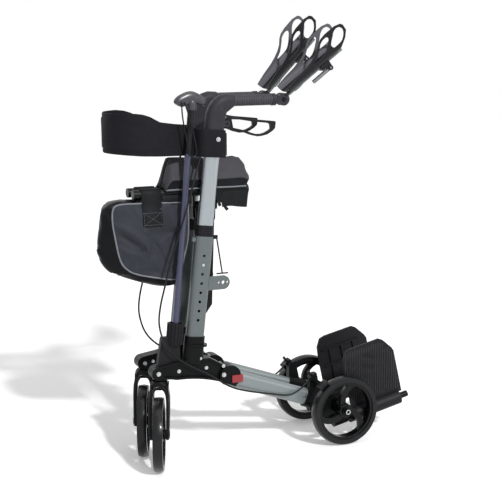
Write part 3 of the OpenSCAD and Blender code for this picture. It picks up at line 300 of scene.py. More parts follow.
FINISHES = {
    # Powder-coated cast aluminium: a thick satin coat; orange peel of about 1 mm is drawn at 3 mm to show
    "cast": lambda tone: coat(
        "powder_coated_cast_aluminium", tone.cast, (40, 0.8, 1.25), (25, 0.26, 0.42), (grain, 3, 0.25, 0.5),
        Specular_IOR_Level=0.12,
    ),
    "paint": lambda tone: grey_paint("metallic_grey_paint", tone.paint, 0.25),
    # Painted light: the same grey paint, lighter on the rear legs where their faces tilt up to the lamps
    "leg": lambda tone: grey_paint("metallic_paint_leg_painted_light", tone.leg, 0.6),
    # Satin anodised aluminium tube: drawing lines run along it and stretch the highlights
    "bright": lambda tone: coat(
        "satin_anodised_aluminium", tone.bright, (4, 0.92, 1.04), (5, 0.26, 0.4), (grain, 1.5, 0.04, 0.4),
        stretch=(1, 1, 0.02), Metallic=1.0,
    ),
    "moulded": lambda tone: moulded("moulded_black_nylon", tone.moulded, 0.16),
    "tread": lambda tone: moulded("moulded_tread_rubber", tone.tread, 0.22),
    "trough_left": lambda tone: trough_with_painted_light("left", tone),
    "trough_right": lambda tone: trough_with_painted_light("right", tone),
    # Soft-touch paint: matt and a little blue; its grain of about 0.3 mm is drawn at 1.6 mm to show
    "elbow": lambda tone: coat(
        "soft_touch_elbow_paint", tone.elbow, (25, 0.85, 1.15), (14, 0.45, 0.6), (grain, 1.6, 0.1, 0.4),
        Specular_IOR_Level=0.2, Sheen_Weight=0.08, Sheen_Roughness=0.4,
    ),
    # Die-cast zinc: dull grey metal with a soft, uneven shine
    "die_cast": lambda tone: coat(
        "die_cast_zinc", tone.lever, (6, 0.8, 1.15), (5, 0.4, 0.55), (grain, 2, 0.1, 0.4), Metallic=0.45
    ),
    # Glossy moulded nylon of the rims: smooth, with broad highlights and faint scuffs
    "rim": lambda tone: coat(
        "gloss_black_nylon", tone.cast, (50, 0.85, 1.15), (12, 0.2, 0.34), (grain, 8, 0.05, 0.3),
        Specular_IOR_Level=0.2,
    ),
    # Black enamelled steel: a smooth hard coat with a sharper highlight than the castings
    "enamel": lambda tone: coat(
        "black_enamelled_steel", tone.cast, (60, 0.8, 1.1), (20, 0.26, 0.4), Specular_IOR_Level=0.2
    ),
    # Moulded thermoplastic rubber: matt, a little dusty in the ribs
    "grip": lambda tone: coat(
        "moulded_grip_rubber", tone.rubber, (12, 0.8, 1.2), (10, 0.55, 0.72), (grain, 1.5, 0.2, 0.5),
        Specular_IOR_Level=0.3, Sheen_Weight=0.1, Sheen_Roughness=0.5,
    ),
    # Solid polyurethane tyre: half matt under a thin gloss, worn paler in patches on the tread
    "tyre": lambda tone: coat(
        "polyurethane_tyre", tone.tyre, (22, 0.8, 1.5), (15, 0.26, 0.42), (grain, 2, 0.15, 0.4),
        Specular_IOR_Level=0.15, Coat_Weight=0.25, Coat_Roughness=0.1,
    ),
    # Zinc-plated steel: bright and a little uneven
    "zinc": lambda tone: coat("zinc_plated_steel", tone.steel, (3, 0.85, 1.05), (4, 0.2, 0.38), Metallic=1.0),
    # Moulded red ABS: smooth and glossy
    "red": lambda tone: coat("moulded_red_abs", tone.red, (10, 0.9, 1.1), (8, 0.25, 0.35), IOR=1.54),
    # Extruded PVC jacket of the cables: smooth, with a low, uneven shine
    "jacket": lambda tone: coat(
        "extruded_pvc_jacket", tone.jacket, (20, 0.8, 1.3), (10, 0.3, 0.42), Specular_IOR_Level=0.2
    ),
    "bag": lambda tone: cloth("woven_polyester_bag", tone.bag, 2.4, 0.2, 0.6, 0.15),
    "gusset": lambda tone: cloth("coated_polyester_gusset", tone.gusset, 3, 0.3, 0.34, 0.0),
    "piping": lambda tone: cloth("vinyl_piping", tone.piping, 2, 0.05, 0.4, 0.1),
    "seat": lambda tone: cloth("woven_polyester_seat", tone.seat, 2.4, 0.2, 0.6, 0.15),
    "band": lambda tone: cloth("knitted_band_cover", tone.band, 2, 0.2, 0.75, 0.04),
    "webbing": lambda tone: cloth("woven_nylon_webbing", tone.webbing, 3, 0.4, 0.5, 0.04),
    "thread": lambda tone: cloth("polyester_thread", tone.thread, 1, 0.05, 0.6, 0.2),
    # Colour-anodised aluminium tube: a tinted metal under a clear hard film
    "shaft": lambda tone: coat(
        "anodised_cane_tube", tone.shaft, (30, 0.9, 1.1), (12, 0.28, 0.4),
        Metallic=0.75, Coat_Weight=0.4, Coat_Roughness=0.15,
    ),
    # Polished moulded handle: hard glossy plastic, lightly handled
    "handle": lambda tone: coat(
        "polished_moulded_handle", tone.handle, (25, 0.85, 1.15), (10, 0.24, 0.36), IOR=1.53
    ),
}
MADE = {}


def finish(key):
    """The material of a finish, made once."""
    if key not in MADE:
        MADE[key] = FINISHES[key](colours())
    return MADE[key]


# Mesh building

def catmull(points, steps, closed=False):
    """A smooth curve through the points."""
    pts = [Vector(p) for p in points]
    count = len(pts)

    def pick(i):
        return pts[i % count] if closed else pts[max(0, min(count - 1, i))]

    line = []
    for i in range(count if closed else count - 1):
        a, b, c, d = (pick(i + k) for k in (-1, 0, 1, 2))
        for t in (k / steps for k in range(steps)):
            bend, swing = 2 * a - 5 * b + 4 * c - d, 3 * b - a - 3 * c + d
            line.append((2 * b + (c - a) * t + bend * t ** 2 + swing * t ** 3) / 2)
    return line if closed else line + [pts[-1].copy()]


def circle(count, shift=0.0):
    """Points round the unit circle."""
    turns = [2 * math.pi * (k + shift) / count for k in range(count)]
    return [(math.cos(t), math.sin(t)) for t in turns]


def shares(count):
    """Even steps from 0 to 1."""
    return [k / (count - 1) for k in range(count)]


def shown(name, data):
    """A new object at the origin, in the scene."""
    made = bpy.data.objects.new(name, data)
    bpy.context.scene.collection.objects.link(made)
    return made


def discard(piece):
    mesh = piece.data
    bpy.data.objects.remove(piece)
    bpy.data.meshes.remove(mesh)


def worn(piece, body):
    """Lets a piece ride a body."""
    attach(piece, body)


def parted(piece):
    """Bakes a piece's placement into its mesh points."""
    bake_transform(piece)


def shade(mesh, sharp):
    """Shades a mesh smooth, apart from edges sharper than an angle in degrees."""
    mesh.shade_smooth()
    mesh.set_sharp_from_angle(angle=math.radians(sharp))


def tidy(mesh, sharp):
    """Merges points, turns faces outward and shades them."""
    shape = bmesh.new()
    shape.from_mesh(mesh)
    bmesh.ops.remove_doubles(shape, verts=shape.verts, dist=1e-6)
    bmesh.ops.recalc_face_normals(shape, faces=shape.faces)
    shape.to_mesh(mesh)
    shape.free()
    shade(mesh, sharp)


def new_piece(name, shape, *finishes, sharp):
    """A piece of points and faces."""
    verts, faces = shape
    mesh = bpy.data.meshes.new(name)
    mesh.from_pydata([tuple(v) for v in verts], [], faces)
    for key in finishes:
        mesh.materials.append(finish(key))
    tidy(mesh, sharp)
    return shown(name, mesh)


def final_mesh(piece):
    """A new mesh of what the modifiers make of a piece."""
    return bpy.data.meshes.new_from_object(piece.evaluated_get(bpy.context.evaluated_depsgraph_get()))


def apply_modifiers(piece):
    old, piece.data = piece.data, final_mesh(piece)
    piece.modifiers.clear()
    bpy.data.meshes.remove(old)


def thicken(piece):
    """Gives an open sheet the thickness of its cloth."""
    solid = piece.modifiers.new("thick", "SOLIDIFY")
    solid.thickness = CLOTH_THICK * MM
    solid.offset = 0
    apply_modifiers(piece)


def loft(rings, closed_ring=True, caps=True):
    """Faces that join rings of equal counts; returns points and faces."""
    count = len(rings[0])
    verts = [v for ring in rings for v in ring]
    faces = []
    for i in range(len(rings) - 1):
        for k in range(count if closed_ring else count - 1):
            a, b = i * count + k, i * count + (k + 1) % count
            faces.append((a, b, b + count, a + count))
    if caps:
        faces += [tuple(range(count)), tuple(range((len(rings) - 1) * count, len(rings) * count))]
    return verts, faces


def laid(middle, u, v, section):
    """A section in millimetres, laid round a place along two directions."""
    return [middle + (u * a + v * b) * MM for a, b in section]


def frames_along(line, closed=False):
    """The direction of a path at each point and two directions across it, which turn as little as they can."""
    count = len(line)
    frames = []
    side = None
    for i in range(count):
        before = line[(i - 1) % count] if closed else line[max(i - 1, 0)]
        after = line[(i + 1) % count] if closed else line[min(i + 1, count - 1)]
        way = (after - before).normalized()
        side = side or way.cross(Vector((0.11, 0.3, 0.94)))
        side = (side - way * side.dot(way)).normalized()
        frames.append((way, side, way.cross(side)))
    return frames


def tube(name, line, radius, key, sides, closed=False):
    """A round tube along a path."""
    section = [(c * radius / MM, s * radius / MM) for c, s in circle(sides)]
    rings = [laid(p, u, v, section) for p, (_, u, v) in zip(line, frames_along(line, closed))]
    if closed:
        rings.append(rings[0])
    return new_piece(name, loft(rings, caps=not closed), key, sharp=60)


def strap(name, line, across, key, width, thick):
    """A flat webbing strap along a path, with rounded edges."""
    half, rim = width / 2, thick / 2
    section = [
        (-half, 0), (-half + rim, -rim), (0, -rim), (half - rim, -rim), (half, 0), (half - rim, rim), (0, rim),
        (-half + rim, rim),
    ]
    rings = []
    for p, (way, _, _) in zip(line, frames_along(line)):
        wide = (across - way * across.dot(way)).normalized()
        rings.append(laid(p, wide, way.cross(wide), section))
    return new_piece(name, loft(rings), key, sharp=50)


def turned(name, base, axis, profile, key):
    """A lathe-turned piece: profile points are radius and distance along the axis, in millimetres."""
    way = axis.normalized()
    u = way.orthogonal().normalized()
    rings = [
        laid(base + way * d * MM, u, way.cross(u), [(c * r, s * r) for c, s in circle(28)]) for r, d in profile
    ]
    return new_piece(name, loft(rings), key, sharp=32)


def joined(name, pieces):
    """Joins pieces at the origin into one, with their materials."""
    shape = bmesh.new()
    keys = []
    for piece in pieces:
        start = len(shape.faces)
        shape.from_mesh(piece.data)
        shape.faces.ensure_lookup_table()
        for face in shape.faces[start:]:
            made = piece.data.materials[face.material_index]
            if made not in keys:
                keys.append(made)
            face.material_index = keys.index(made)
    mesh = bpy.data.meshes.new(name)
    shape.to_mesh(mesh)
    shape.free()
    for made in keys:
        mesh.materials.append(made)
    for piece in pieces:
        discard(piece)
    shade(mesh, 40)
    return shown(name, mesh)


CLOTH_THICK = 1.8
SETTLE_FRAMES = 20


def settle(piece, held, pressure, slack, cap):
    """Lets a closed cloth shell swell and wrinkle up to a cap in millimetres, with some points held."""
    scene = bpy.context.scene
    group = piece.vertex_groups.new(name="held")
    group.add([v.index for v in piece.data.vertices if held(v.co)], 1.0, "REPLACE")
    start = [v.co.copy() for v in piece.data.vertices]
    marks = [face.material_index for face in piece.data.polygons]
    swell = piece.modifiers.new("swell", "CLOTH")
    for key, value in {
        "quality": 6, "mass": 0.2, "bending_stiffness": 0.3, "shrink_min": -slack, "use_pressure": True,
        "uniform_pressure_force": pressure, "vertex_group_mass": "held",
    }.items():
        setattr(swell.settings, key, value)
    swell.settings.effector_weights.gravity = 0
    swell.collision_settings.use_collision = False
    swell.point_cache.frame_end = SETTLE_FRAMES
    for number in range(1, SETTLE_FRAMES + 1):
        scene.frame_set(number)
    apply_modifiers(piece)
    piece.vertex_groups.clear()
    scene.frame_set(1)
    for vertex, before in zip(piece.data.vertices, start):
        move = vertex.co - before
        vertex.co = before + move * min(1.0, cap * MM / max(move.length, 1e-9))
    for face, mark in zip(piece.data.polygons, marks):
        face.material_index = mark
    piece.data.shade_smooth()


def surface_of(*nodes):
    """A search tree over the meshes of CAD nodes."""
    verts, faces = [], []
    for node in nodes:
        mesh = frame["nodes"][node].data
        faces += [[len(verts) + i for i in p.vertices] for p in mesh.polygons]
        verts += [v.co.copy() for v in mesh.vertices]
    return BVHTree.FromPolygons(verts, faces)


def mount_point(tree, point, way):
    """Where a line through a point, coming in along a direction, first meets the surface."""
    reach = 0.4
    hit = tree.ray_cast(point - way * reach, way, 2 * reach)[0]
    if hit is None:
        raise RuntimeError(f"nothing to sit on at {point}")
    return hit


# Geometry Nodes

def new_tree(name, *lengths):
    """A node tree with a geometry, named lengths and a finish to take in; returns it with what is given."""
    tree = bpy.data.node_groups.new(name, "GeometryNodeTree")
    tree.interface.new_socket("Geometry", in_out="OUTPUT", socket_type="NodeSocketGeometry")
    for label in ("Geometry", *lengths, "Finish"):
        kind = {"Geometry": "Geometry", "Finish": "Material"}.get(label, "Float")
        tree.interface.new_socket(label, in_out="INPUT", socket_type="NodeSocket" + kind)
    return tree, add_node(tree, "NodeGroupInput").outputs


def scatter(tree, given, points, instance, way, **more):
    """Ends a tree: an instance on each point, turned along a direction, made real and painted."""
    turn = add_node(tree, "FunctionNodeAlignRotationToVector", {"axis": "Z"}, {"Vector": way}).outputs[0]
    placed = add_node(
        tree, "GeometryNodeInstanceOnPoints",
        inputs={"Points": points, "Instance": instance, "Rotation": turn, **more},
    ).outputs[0]
    real = add_node(tree, "GeometryNodeRealizeInstances", inputs={0: placed}).outputs[0]
    painted = add_node(tree, "GeometryNodeSetMaterial", inputs={"Geometry": real, "Material": given["Finish"]})
    add_node(tree, "NodeGroupOutput", inputs={0: painted.outputs[0]})
    return tree


def bolt_tree():
    """Button-head bolts on washers, one at each point, facing along the point's own direction."""
    tree, given = new_tree("button_head_bolts", "Head Radius", "Head Height", "Washer Radius", "Washer Height")
    both = add_node(tree, "GeometryNodeJoinGeometry")
    top = reckon(tree, "MULTIPLY", given["Head Radius"], 0.72)
    for kind, inputs in (
        ("Cylinder", {"Radius": given["Washer Radius"], "Depth": given["Washer Height"]}),
        ("Cone", {"Radius Top": top, "Radius Bottom": given["Head Radius"], "Depth": given["Head Height"]}),
    ):
        part = add_node(tree, "GeometryNodeMesh" + kind, inputs={"Vertices": 24, **inputs})
        tree.links.new(part.outputs["Mesh"], both.inputs[0])
    facing, size = (
        add_node(tree, "GeometryNodeInputNamedAttribute", {"data_type": kind}, {"Name": name}).outputs[0]
        for name, kind in (("facing", "FLOAT_VECTOR"), ("size", "FLOAT"))
    )
    return scatter(tree, given, given["Geometry"], both.outputs[0], facing, Scale=size)


def stitch_tree():
    """Stitches of a thread, laid end to end along the edges of a line."""
    tree, given = new_tree("thread_stitches", "Pitch", "Thread Radius")
    line = add_node(tree, "GeometryNodeMeshToCurve", inputs={"Mesh": given["Geometry"]}).outputs["Curve"]
    spaced = add_node(
        tree, "GeometryNodeResampleCurve", {"mode": "LENGTH"}, {"Curve": line, "Length": given["Pitch"]}
    ).outputs["Curve"]
    long = reckon(tree, "MULTIPLY", given["Pitch"], 0.66)
    inputs = {"Vertices": 6, "Radius": given["Thread Radius"], "Depth": long}
    thread = add_node(tree, "GeometryNodeMeshCylinder", inputs=inputs).outputs["Mesh"]
    tangent = add_node(tree, "GeometryNodeInputTangent").outputs["Tangent"]
    return scatter(tree, given, spaced, thread, tangent)


def grown(name, source, plan, values):
    """Runs a node tree on an object and keeps the result as a plain mesh piece."""
    if plan not in MADE:
        MADE[plan] = plan()
    nodes = source.modifiers.new("grow", "NODES")
    nodes.node_group = MADE[plan]
    for item in nodes.node_group.interface.items_tree:
        if item.in_out == "INPUT" and item.name in values:
            nodes[item.identifier] = values[item.name]
    bpy.context.view_layer.update()
    mesh = final_mesh(source)
    discard(source)
    mesh.name = name
    tidy(mesh, 40)
    return shown(name, mesh)


def bare(name, verts, edges=()):
    """Loose points and edges for a node tree to work on."""
    mesh = bpy.data.meshes.new(name)
    mesh.from_pydata([tuple(v) for v in verts], list(edges), [])
    return shown(name, mesh)


def bolts(name, places, body, key="zinc"):
    """Bolts as one piece; places hold a point, a facing direction and a size."""
    source = bare(name + "_points", [p for p, _, _ in places])
    facing = source.data.attributes.new("facing", "FLOAT_VECTOR", "POINT")
    facing.data.foreach_set("vector", [part for _, way, _ in places for part in way])
    size = source.data.attributes.new("size", "FLOAT", "POINT")
    size.data.foreach_set("value", [s for _, _, s in places])
    head = sizes().bolt_radius
    piece = grown(name, source, bolt_tree, {
        "Head Radius": head, "Head Height": 0.62 * head, "Washer Radius": 1.35 * head,
        "Washer Height": 0.5 * head, "Finish": finish(key),
    })
    worn(piece, body)


def stitches(name, line):
    """A row of stitches along a path, as a piece that rides nothing yet."""
    source = bare(name + "_line", line, [(i, i + 1) for i in range(len(line) - 1)])
    values = {"Pitch": sizes().stitch_pitch, "Thread Radius": 0.6 * MM, "Finish": finish("thread")}
    return grown(name, source, stitch_tree, values)


# Operators

class StageOperator(bpy.types.Operator):
    """Sets the floor, the world, the lights and the camera"""

    bl_idname = "walker.stage"
    bl_label = "Stage"

    def execute(self, context):
        context.scene.view_settings.view_transform = "Standard"
        self.sky(context.scene)
        self.floor()
        self.lamps()
        self.camera(context.scene)
        return {"FINISHED"}

    def seen(self, tree, low, high):
        """The high level for the rays that show the background itself, and the low one for the rest."""
        rays = add_node(tree, "ShaderNodeLightPath").outputs
        share = reckon(tree, "MAXIMUM", rays["Is Camera Ray"], rays["Is Glossy Ray"])
        return spread(tree, reckon(tree, "MAXIMUM", share, rays["Is Transmission Ray"]), low, high)

    def sky(self, scene):
        world = bpy.data.worlds.new("studio")
        world.use_nodes = True
        tree = world.node_tree
        back = tree.nodes["Background"].inputs
        back["Color"].default_value = (1, 1, 1, 1)
        tree.links.new(self.seen(tree, 0.22, 1.0), back["Strength"])
        scene.world = world

    def floor(self):
        reach, drop = 9.0, -0.0004
        mesh = bpy.data.meshes.new("floor")
        corners = [(-reach, -reach, drop), (reach, -reach, drop), (reach, reach, drop), (-reach, reach, drop)]
        mesh.from_pydata(corners, [], [(0, 1, 2, 3)])
        made, tree, sockets = plain("pale_studio_floor", (0.97, 0.97, 0.97), Roughness=0.9)
        sockets["Emission Color"].default_value = (1, 1, 1, 1)
        tree.links.new(self.seen(tree, 0.0, 0.26), sockets["Emission Strength"])
        mesh.materials.append(made)
        shown("floor", mesh)

    def lamps(self):
        """A sun from the user's left throws the shadow; soft panels open the dark sides."""
        target = Vector((0, 0, 0.55))
        for name, kind, place, size, power in (
            ("key", "SUN", (0.35, -3.0, 2.9), math.radians(4), 2.7),
            ("fill", "AREA", (2.4, -2.6, 1.5), 2.0, 14),
            ("top", "AREA", (0.2, -0.6, 3.6), 2.4, 18),
            ("back", "AREA", (-1.6, 3.0, 2.4), 2.0, 20),
        ):
            lamp = bpy.data.lights.new(name, kind)
            setattr(lamp, "angle" if kind == "SUN" else "size", size)
            lamp.energy = power
            holder = shown(name, lamp)
            holder.location = place
            holder.rotation_euler = (target - Vector(place)).to_track_quat("-Z", "Y").to_euler()

    def camera(self, scene):
        turn, rise, roll = math.radians(23), math.radians(10.3), math.radians(0.2)
        target = at(201, 0, 560)
        ahead = Vector((math.sin(turn) * math.cos(rise), math.cos(turn) * math.cos(rise), -math.sin(rise)))
        lens = bpy.data.cameras.new("camera")
        lens.lens = sizes().lens
        holder = shown("camera", lens)
        holder.rotation_mode = "QUATERNION"
        look = ahead.to_track_quat("-Z", "Y").to_matrix()
        holder.rotation_quaternion = (look @ Matrix.Rotation(-roll, 3, "Z")).to_quaternion()
        holder.location = target - ahead * sizes().camera_reach
        scene.camera = holder


# The right cable's route from its lever to the rear brake; the left one mirrors it
CABLE_ROUTE = [
    (36, 62, 880), (32, 68, 850), (20, 74, 815), (0, 84, 760), (-22, 87, 690), (-46, 87, 620), (-66, 87, 560),
    (-82, 87, 500), (-96, 87, 445), (-101, 87, 400), (-94, 88, 360), (-78, 90, 325), (-50, 90, 295), (-10, 88, 268),
    (40, 86, 240), (100, 88, 200), (150, 85, 180), (220, 84, 163), (280, 85, 152), (320, 85, 166), (348, 84, 190),
]
CORD_Y = -81.5
CORD_ROUTE = [
    (-24, -75.7, 984), (-26, -80, 966), (-24, CORD_Y, 940), (-19, CORD_Y, 910), (-14, CORD_Y, 885),
    (-10, CORD_Y, 866), (-8, CORD_Y, 852), (-5, CORD_Y, 843), (3, CORD_Y, 838.5), (11, CORD_Y, 843),
    (14, CORD_Y, 852), (12, CORD_Y, 868), (8, CORD_Y, 888), (2, CORD_Y, 914), (-6, -81, 945), (-12, -79, 966),
    (-16, -75.7, 982),
]
CORD_SMOOTHING = 12


class CordsOperator(bpy.types.Operator):
    """Makes the two brake cables and the cane's wrist cord"""

    bl_idname = "walker.cords"
    bl_label = "Cables and wrist cord"

    def execute(self, context):
        for side, sign in SIDES.items():
            line = catmull([at(x, sign * y, z) for x, y, z in CABLE_ROUTE], 8)
            cable = tube("cable_jacket_" + side, line, sizes().cable_radius, "jacket", sides=12)
            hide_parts("brake_cable_" + side)
            if side == "left":
                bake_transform(cable)
            else:
                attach(cable, "right_frame")
                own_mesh(cable)
        loop = catmull([at(*p) for p in CORD_ROUTE], 8)
        for _ in range(CORD_SMOOTHING):
            loop = [loop[0]] + [(a + 2 * b + c) / 4 for a, b, c in zip(loop, loop[1:], loop[2:])] + [loop[-1]]
        cord = tube("wrist_cord", loop, sizes().cord_radius, "jacket", sides=10)
        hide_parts("cane_strap")
        worn(cord, "cane")
        return {"FINISHED"}


# Nodes of each finish; a name that isn't a node stands for its left and right ones
NODE_FINISHES = {
    "cast": "bracket caster_fork wheel_carrier",
    "paint": "lower_post armrest_rail",
    "leg": "rear_leg",
    "bright": "upper_post",
    "moulded": "post_collar trough_clamp footplate brake_lever brake_shoe cane_cup",
    "enamel": "seat_rail cross_arm catch_rod",
    "elbow": "handle_elbow",
    "grip": "grip",
    "rim": "front_rim rear_rim",
    "tyre": "front_tyre rear_tyre",
    "zinc": "height_pin brace_pin",
    "die_cast": "clamp_lever",
    "red": "fold_button",
    "shaft": "cane_shaft",
    "trough_left": "arm_trough_left",
    "trough_right": "arm_trough_right",
}


class FinishesOperator(bpy.types.Operator):
    """Gives every solid that shows its own finish"""

    bl_idname = "walker.finishes"
    bl_label = "Finishes of the solids"

    def execute(self, context):
        for key, names in NODE_FINISHES.items():
            for name in names.split():
                for node in [name] if name in frame["nodes"] else [f"{name}_{side}" for side in SIDES]:
                    materials = frame["nodes"][node].data.materials
                    materials.clear()
                    materials.append(finish(key))
        return {"FINISHED"}


def obround(wide, deep):
    """Points of a flat shape with round ends, wide along the first axis, in millimetres."""
    shift = (wide - deep) / 2
    return [(deep / 2 * c + math.copysign(shift, c), deep / 2 * s) for c, s in circle(40, 0.5)]


# The sleeve: distance along the post, width and depth
ELBOW_SLEEVE = [(579.4, 55, 34), (581, 55.6, 34.6), (640, 55.6, 34.6), (664, 55.6, 34.8)]
# The bend to the grip: X, Z, degrees from upright, width and depth
ELBOW_BEND = [
    (75.5, 946, 9, 54.5, 36), (79.5, 959, 24, 52.5, 38.5), (86, 969, 41, 50, 40), (95, 977, 59, 46.5, 40),
    (106, 982, 76, 41.5, 38), (118, 983, 90, 36.4, 36), (125.5, 983, 90, 35.4, 35.4), (126.6, 983, 90, 34, 34),
]


class ElbowsOperator(bpy.types.Operator):
    """Makes the smooth skins of the handle elbows"""

    bl_idname = "walker.elbows"
    bl_label = "Handle elbows"

    def execute(self, context):
        for side, sign in SIDES.items():
            rings = [
                laid(on_post(side, along), POST_BACK, RIGHTWARD, obround(wide, deep))
                for along, wide, deep in ELBOW_SLEEVE
            ]
            for x, z, turn, wide, deep in ELBOW_BEND:
                back = Vector((math.cos(math.radians(turn)), 0, -math.sin(math.radians(turn))))
                rings.append(laid(at(x, sign * POST_Y, z), back, RIGHTWARD, obround(wide, deep)))
            skin = new_piece("elbow_skin_" + side, loft(rings), "elbow", sharp=45)
            worn(skin, side + "_upper")
        return {"FINISHED"}


# The cane's handle from front to rear: X, Z, half height and half depth
HANDLE_SPINE = [
    (-34.5, 977, 8, 8), (-30, 982, 14, 11), (-17, 987.5, 17, 12), (4, 994, 17.5, 12), (21, 991.5, 14.5, 12),
    (34, 985.5, 12, 11.5), (42, 980, 9.5, 9.5), (47.5, 976.5, 5, 6),
]
# Turned parts under it: distance up the cane, then radius and height of each ring
HANDLE_COLLAR = (0.628, [(9.6, 0), (12.4, 1), (12.9, 6), (13.2, 12), (13.8, 18), (11, 26)])
HANDLE_NECK = (0.512, [(9.3, 0), (10.2, 1), (10.2, 34), (9.6, 36), (9.6, 118)])


class CaneOperator(bpy.types.Operator):
    """Makes the cane's curved handle with its collar and neck"""

    bl_idname = "walker.cane"
    bl_label = "Cane handle"

    def execute(self, context):
        smooth = catmull([(x, z, tall) for x, z, tall, _ in HANDLE_SPINE], 4)
        deep = catmull([(d, 0, 0) for _, _, _, d in HANDLE_SPINE], 4)
        line = [at(x, -POST_Y, z) for x, z, _ in smooth]
        rings = []
        for p, d, (way, _, _), middle in zip(smooth, deep, frames_along(line), line):
            section = [(p[2] * c, d[0] * s) for c, s in circle(24)]
            rings.append(laid(middle, Vector((-way.z, 0, way.x)), RIGHTWARD, section))
        parts = [new_piece("derby_handle_grip", loft(rings), "handle", sharp=60)]
        lean = Vector(JOINTS["cane_lift"]["axis"])
        foot = at(-50, -POST_Y, 335)
        for (rise, profile), key in ((HANDLE_COLLAR, "handle"), (HANDLE_NECK, "jacket")):
            parts.append(turned(f"derby_handle_{len(parts)}", foot + lean * rise, lean, profile, key))
        handle = joined("derby_handle", parts)
        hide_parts("cane_handle")
        worn(handle, "cane")
        return {"FINISHED"}


# The bag's outline at its side seams and at its middle, from the rear top round the front
BAG_SIDE = [
    (4, 690), (-1, 709), (-60, 714), (-129, 716), (-186, 716), (-206, 706), (-209, 672), (-202, 623), (-190, 568),
    (-172, 541), (-140, 524), (-74, 508), (-38, 503), (-22, 511), (-11, 556), (3, 616),
]
BAG_MIDDLE = [
    (-1, 692), (-4, 712), (-62, 718), (-131, 720), (-196, 718), (-222, 704), (-231, 664), (-239, 610), (-236, 572),
    (-214, 536), (-176, 514), (-86, 486), (-40, 482), (-24, 494), (-14, 556), (-3, 616),
]
BAG_HALF = 37
# Points between outline points, rings across the gusset and rings of a side panel
BAG_STEPS, BAG_ROWS, BAG_DEPTH = 7, 15, 14
GUSSET_HEART = Vector((-95, 600, 0))
PANEL_HEART = Vector((-90, 605, 0))
# Folds of the side panels: ends in X and Z, depth and breadth
BAG_FOLDS = [
    (-198, 640, -88, 538, -8, 8), (-188, 660, -76, 552, 6.5, 9), (-160, 590, -104, 530, 4, 7),
    (-128, 652, -72, 540, 5, 8), (-112, 646, -60, 548, -5, 7), (-60, 690, -84, 560, -5, 9),
    (-34, 676, -60, 540, 4.5, 9), (-150, 530, -60, 516, -3, 7), (-196, 606, -150, 548, 3.5, 7),
    (-12, 690, -18, 600, -4, 8),
]
# A strap's route over the rail and down the panel: distance out and height
STRAP_X = -100
STRAP_ROUTE = [
    (14, 738), (15, 747), (20, 751.4), (25, 752.2), (31, 750), (35.5, 744), (37.4, 736), (38.6, 722), (40.5, 706),
    (44.5, 690), (47.6, 672), (49, 660), (49.2, 654),
]
STRAP_HANG = STRAP_ROUTE[6:]
# The crossed box that is sewn through it: X and Z
STRAP_BOX = [(-24, 690), (24, 690), (24, 658), (-24, 658), (-24, 690), (24, 658), (24, 690), (-24, 658)]
HEM_ROUTE = [(-70, 36.6), (-50, 37.4), (-25, 37), (0, 37.6), (14, 36.8)]


def clamped(value):
    return min(1.0, max(0.0, value))


def along_edge(edge, x):
    return float(np.interp(x, [p[0] for p in edge], [p[1] for p in edge]))


def fold_height(x, z):
    """How far folds lift the bag's cloth at a place, in millimetres."""
    lift = 0.0
    for x0, z0, x1, z1, depth, breadth in BAG_FOLDS:
        dx, dz = x1 - x0, z1 - z0
        span = math.hypot(dx, dz)
        along = ((x - x0) * dx + (z - z0) * dz) / span ** 2
        bow = 9 * math.sin(math.pi * clamped(along))
        off = ((x - x0) * dz - (z - z0) * dx) / span + bow
        ends = clamped(4 * along + 0.4) * clamped(4 * (1 - along) + 0.4)
        lift += depth * ends * math.exp(-(off / breadth) ** 2)
    return lift


def near_cup(x, z):
    """How far a spot of the left panel lies in the hollow that clears the cane cup when the walker opens."""
    return (1 - clamped((abs(x + 52) - 52) / 16)) * (1 - clamped((z - 634) / 18))


def panel_point(spot, bulge, edge, sign):
    """A point of a side panel: its bulge and folds, hollowed on the left where the cane cup passes."""
    x, z, _ = spot
    lift = bulge + edge * fold_height(x, z)
    lift -= (lift + 5) * edge * near_cup(x, z) * (sign < 0)
    return at(x, sign * (BAG_HALF + lift), z)


def side_panel(side, sign):
    """Points and faces of a side panel, ring by ring from its seam to its middle."""
    crown = sizes().bag_crown / MM
    rings = []
    for k in range(BAG_DEPTH):
        share = 1 - k / BAG_DEPTH
        bulge = crown * (1 - share ** 2) ** 0.7
        edge = min(1.0, k / 2.5)
        rings.append([panel_point(PANEL_HEART + (p - PANEL_HEART) * share, bulge, edge, sign) for p in side])
    verts, faces = loft(rings, caps=False)
    count, tip = len(side), len(verts)
    verts.append(panel_point(PANEL_HEART, crown, 1, sign))
    faces += [(tip - count + k, tip - count + (k + 1) % count, tip) for k in range(count)]
    return verts, faces


def gusset_ring(side, middle, share):
    """The outline between the middle and a side seam, drawn in a little where the cloth sags."""
    full = 1 - abs(share) ** 2.4
    pull = 2.2 * math.exp(-((abs(share) - 0.72) / 0.16) ** 2)
    points = []
    for a, b in zip(side, middle):
        p = a + (b - a) * full
        p = p + (GUSSET_HEART - p).normalized() * pull
        points.append(at(p[0], share * BAG_HALF, p[1]))
    return points


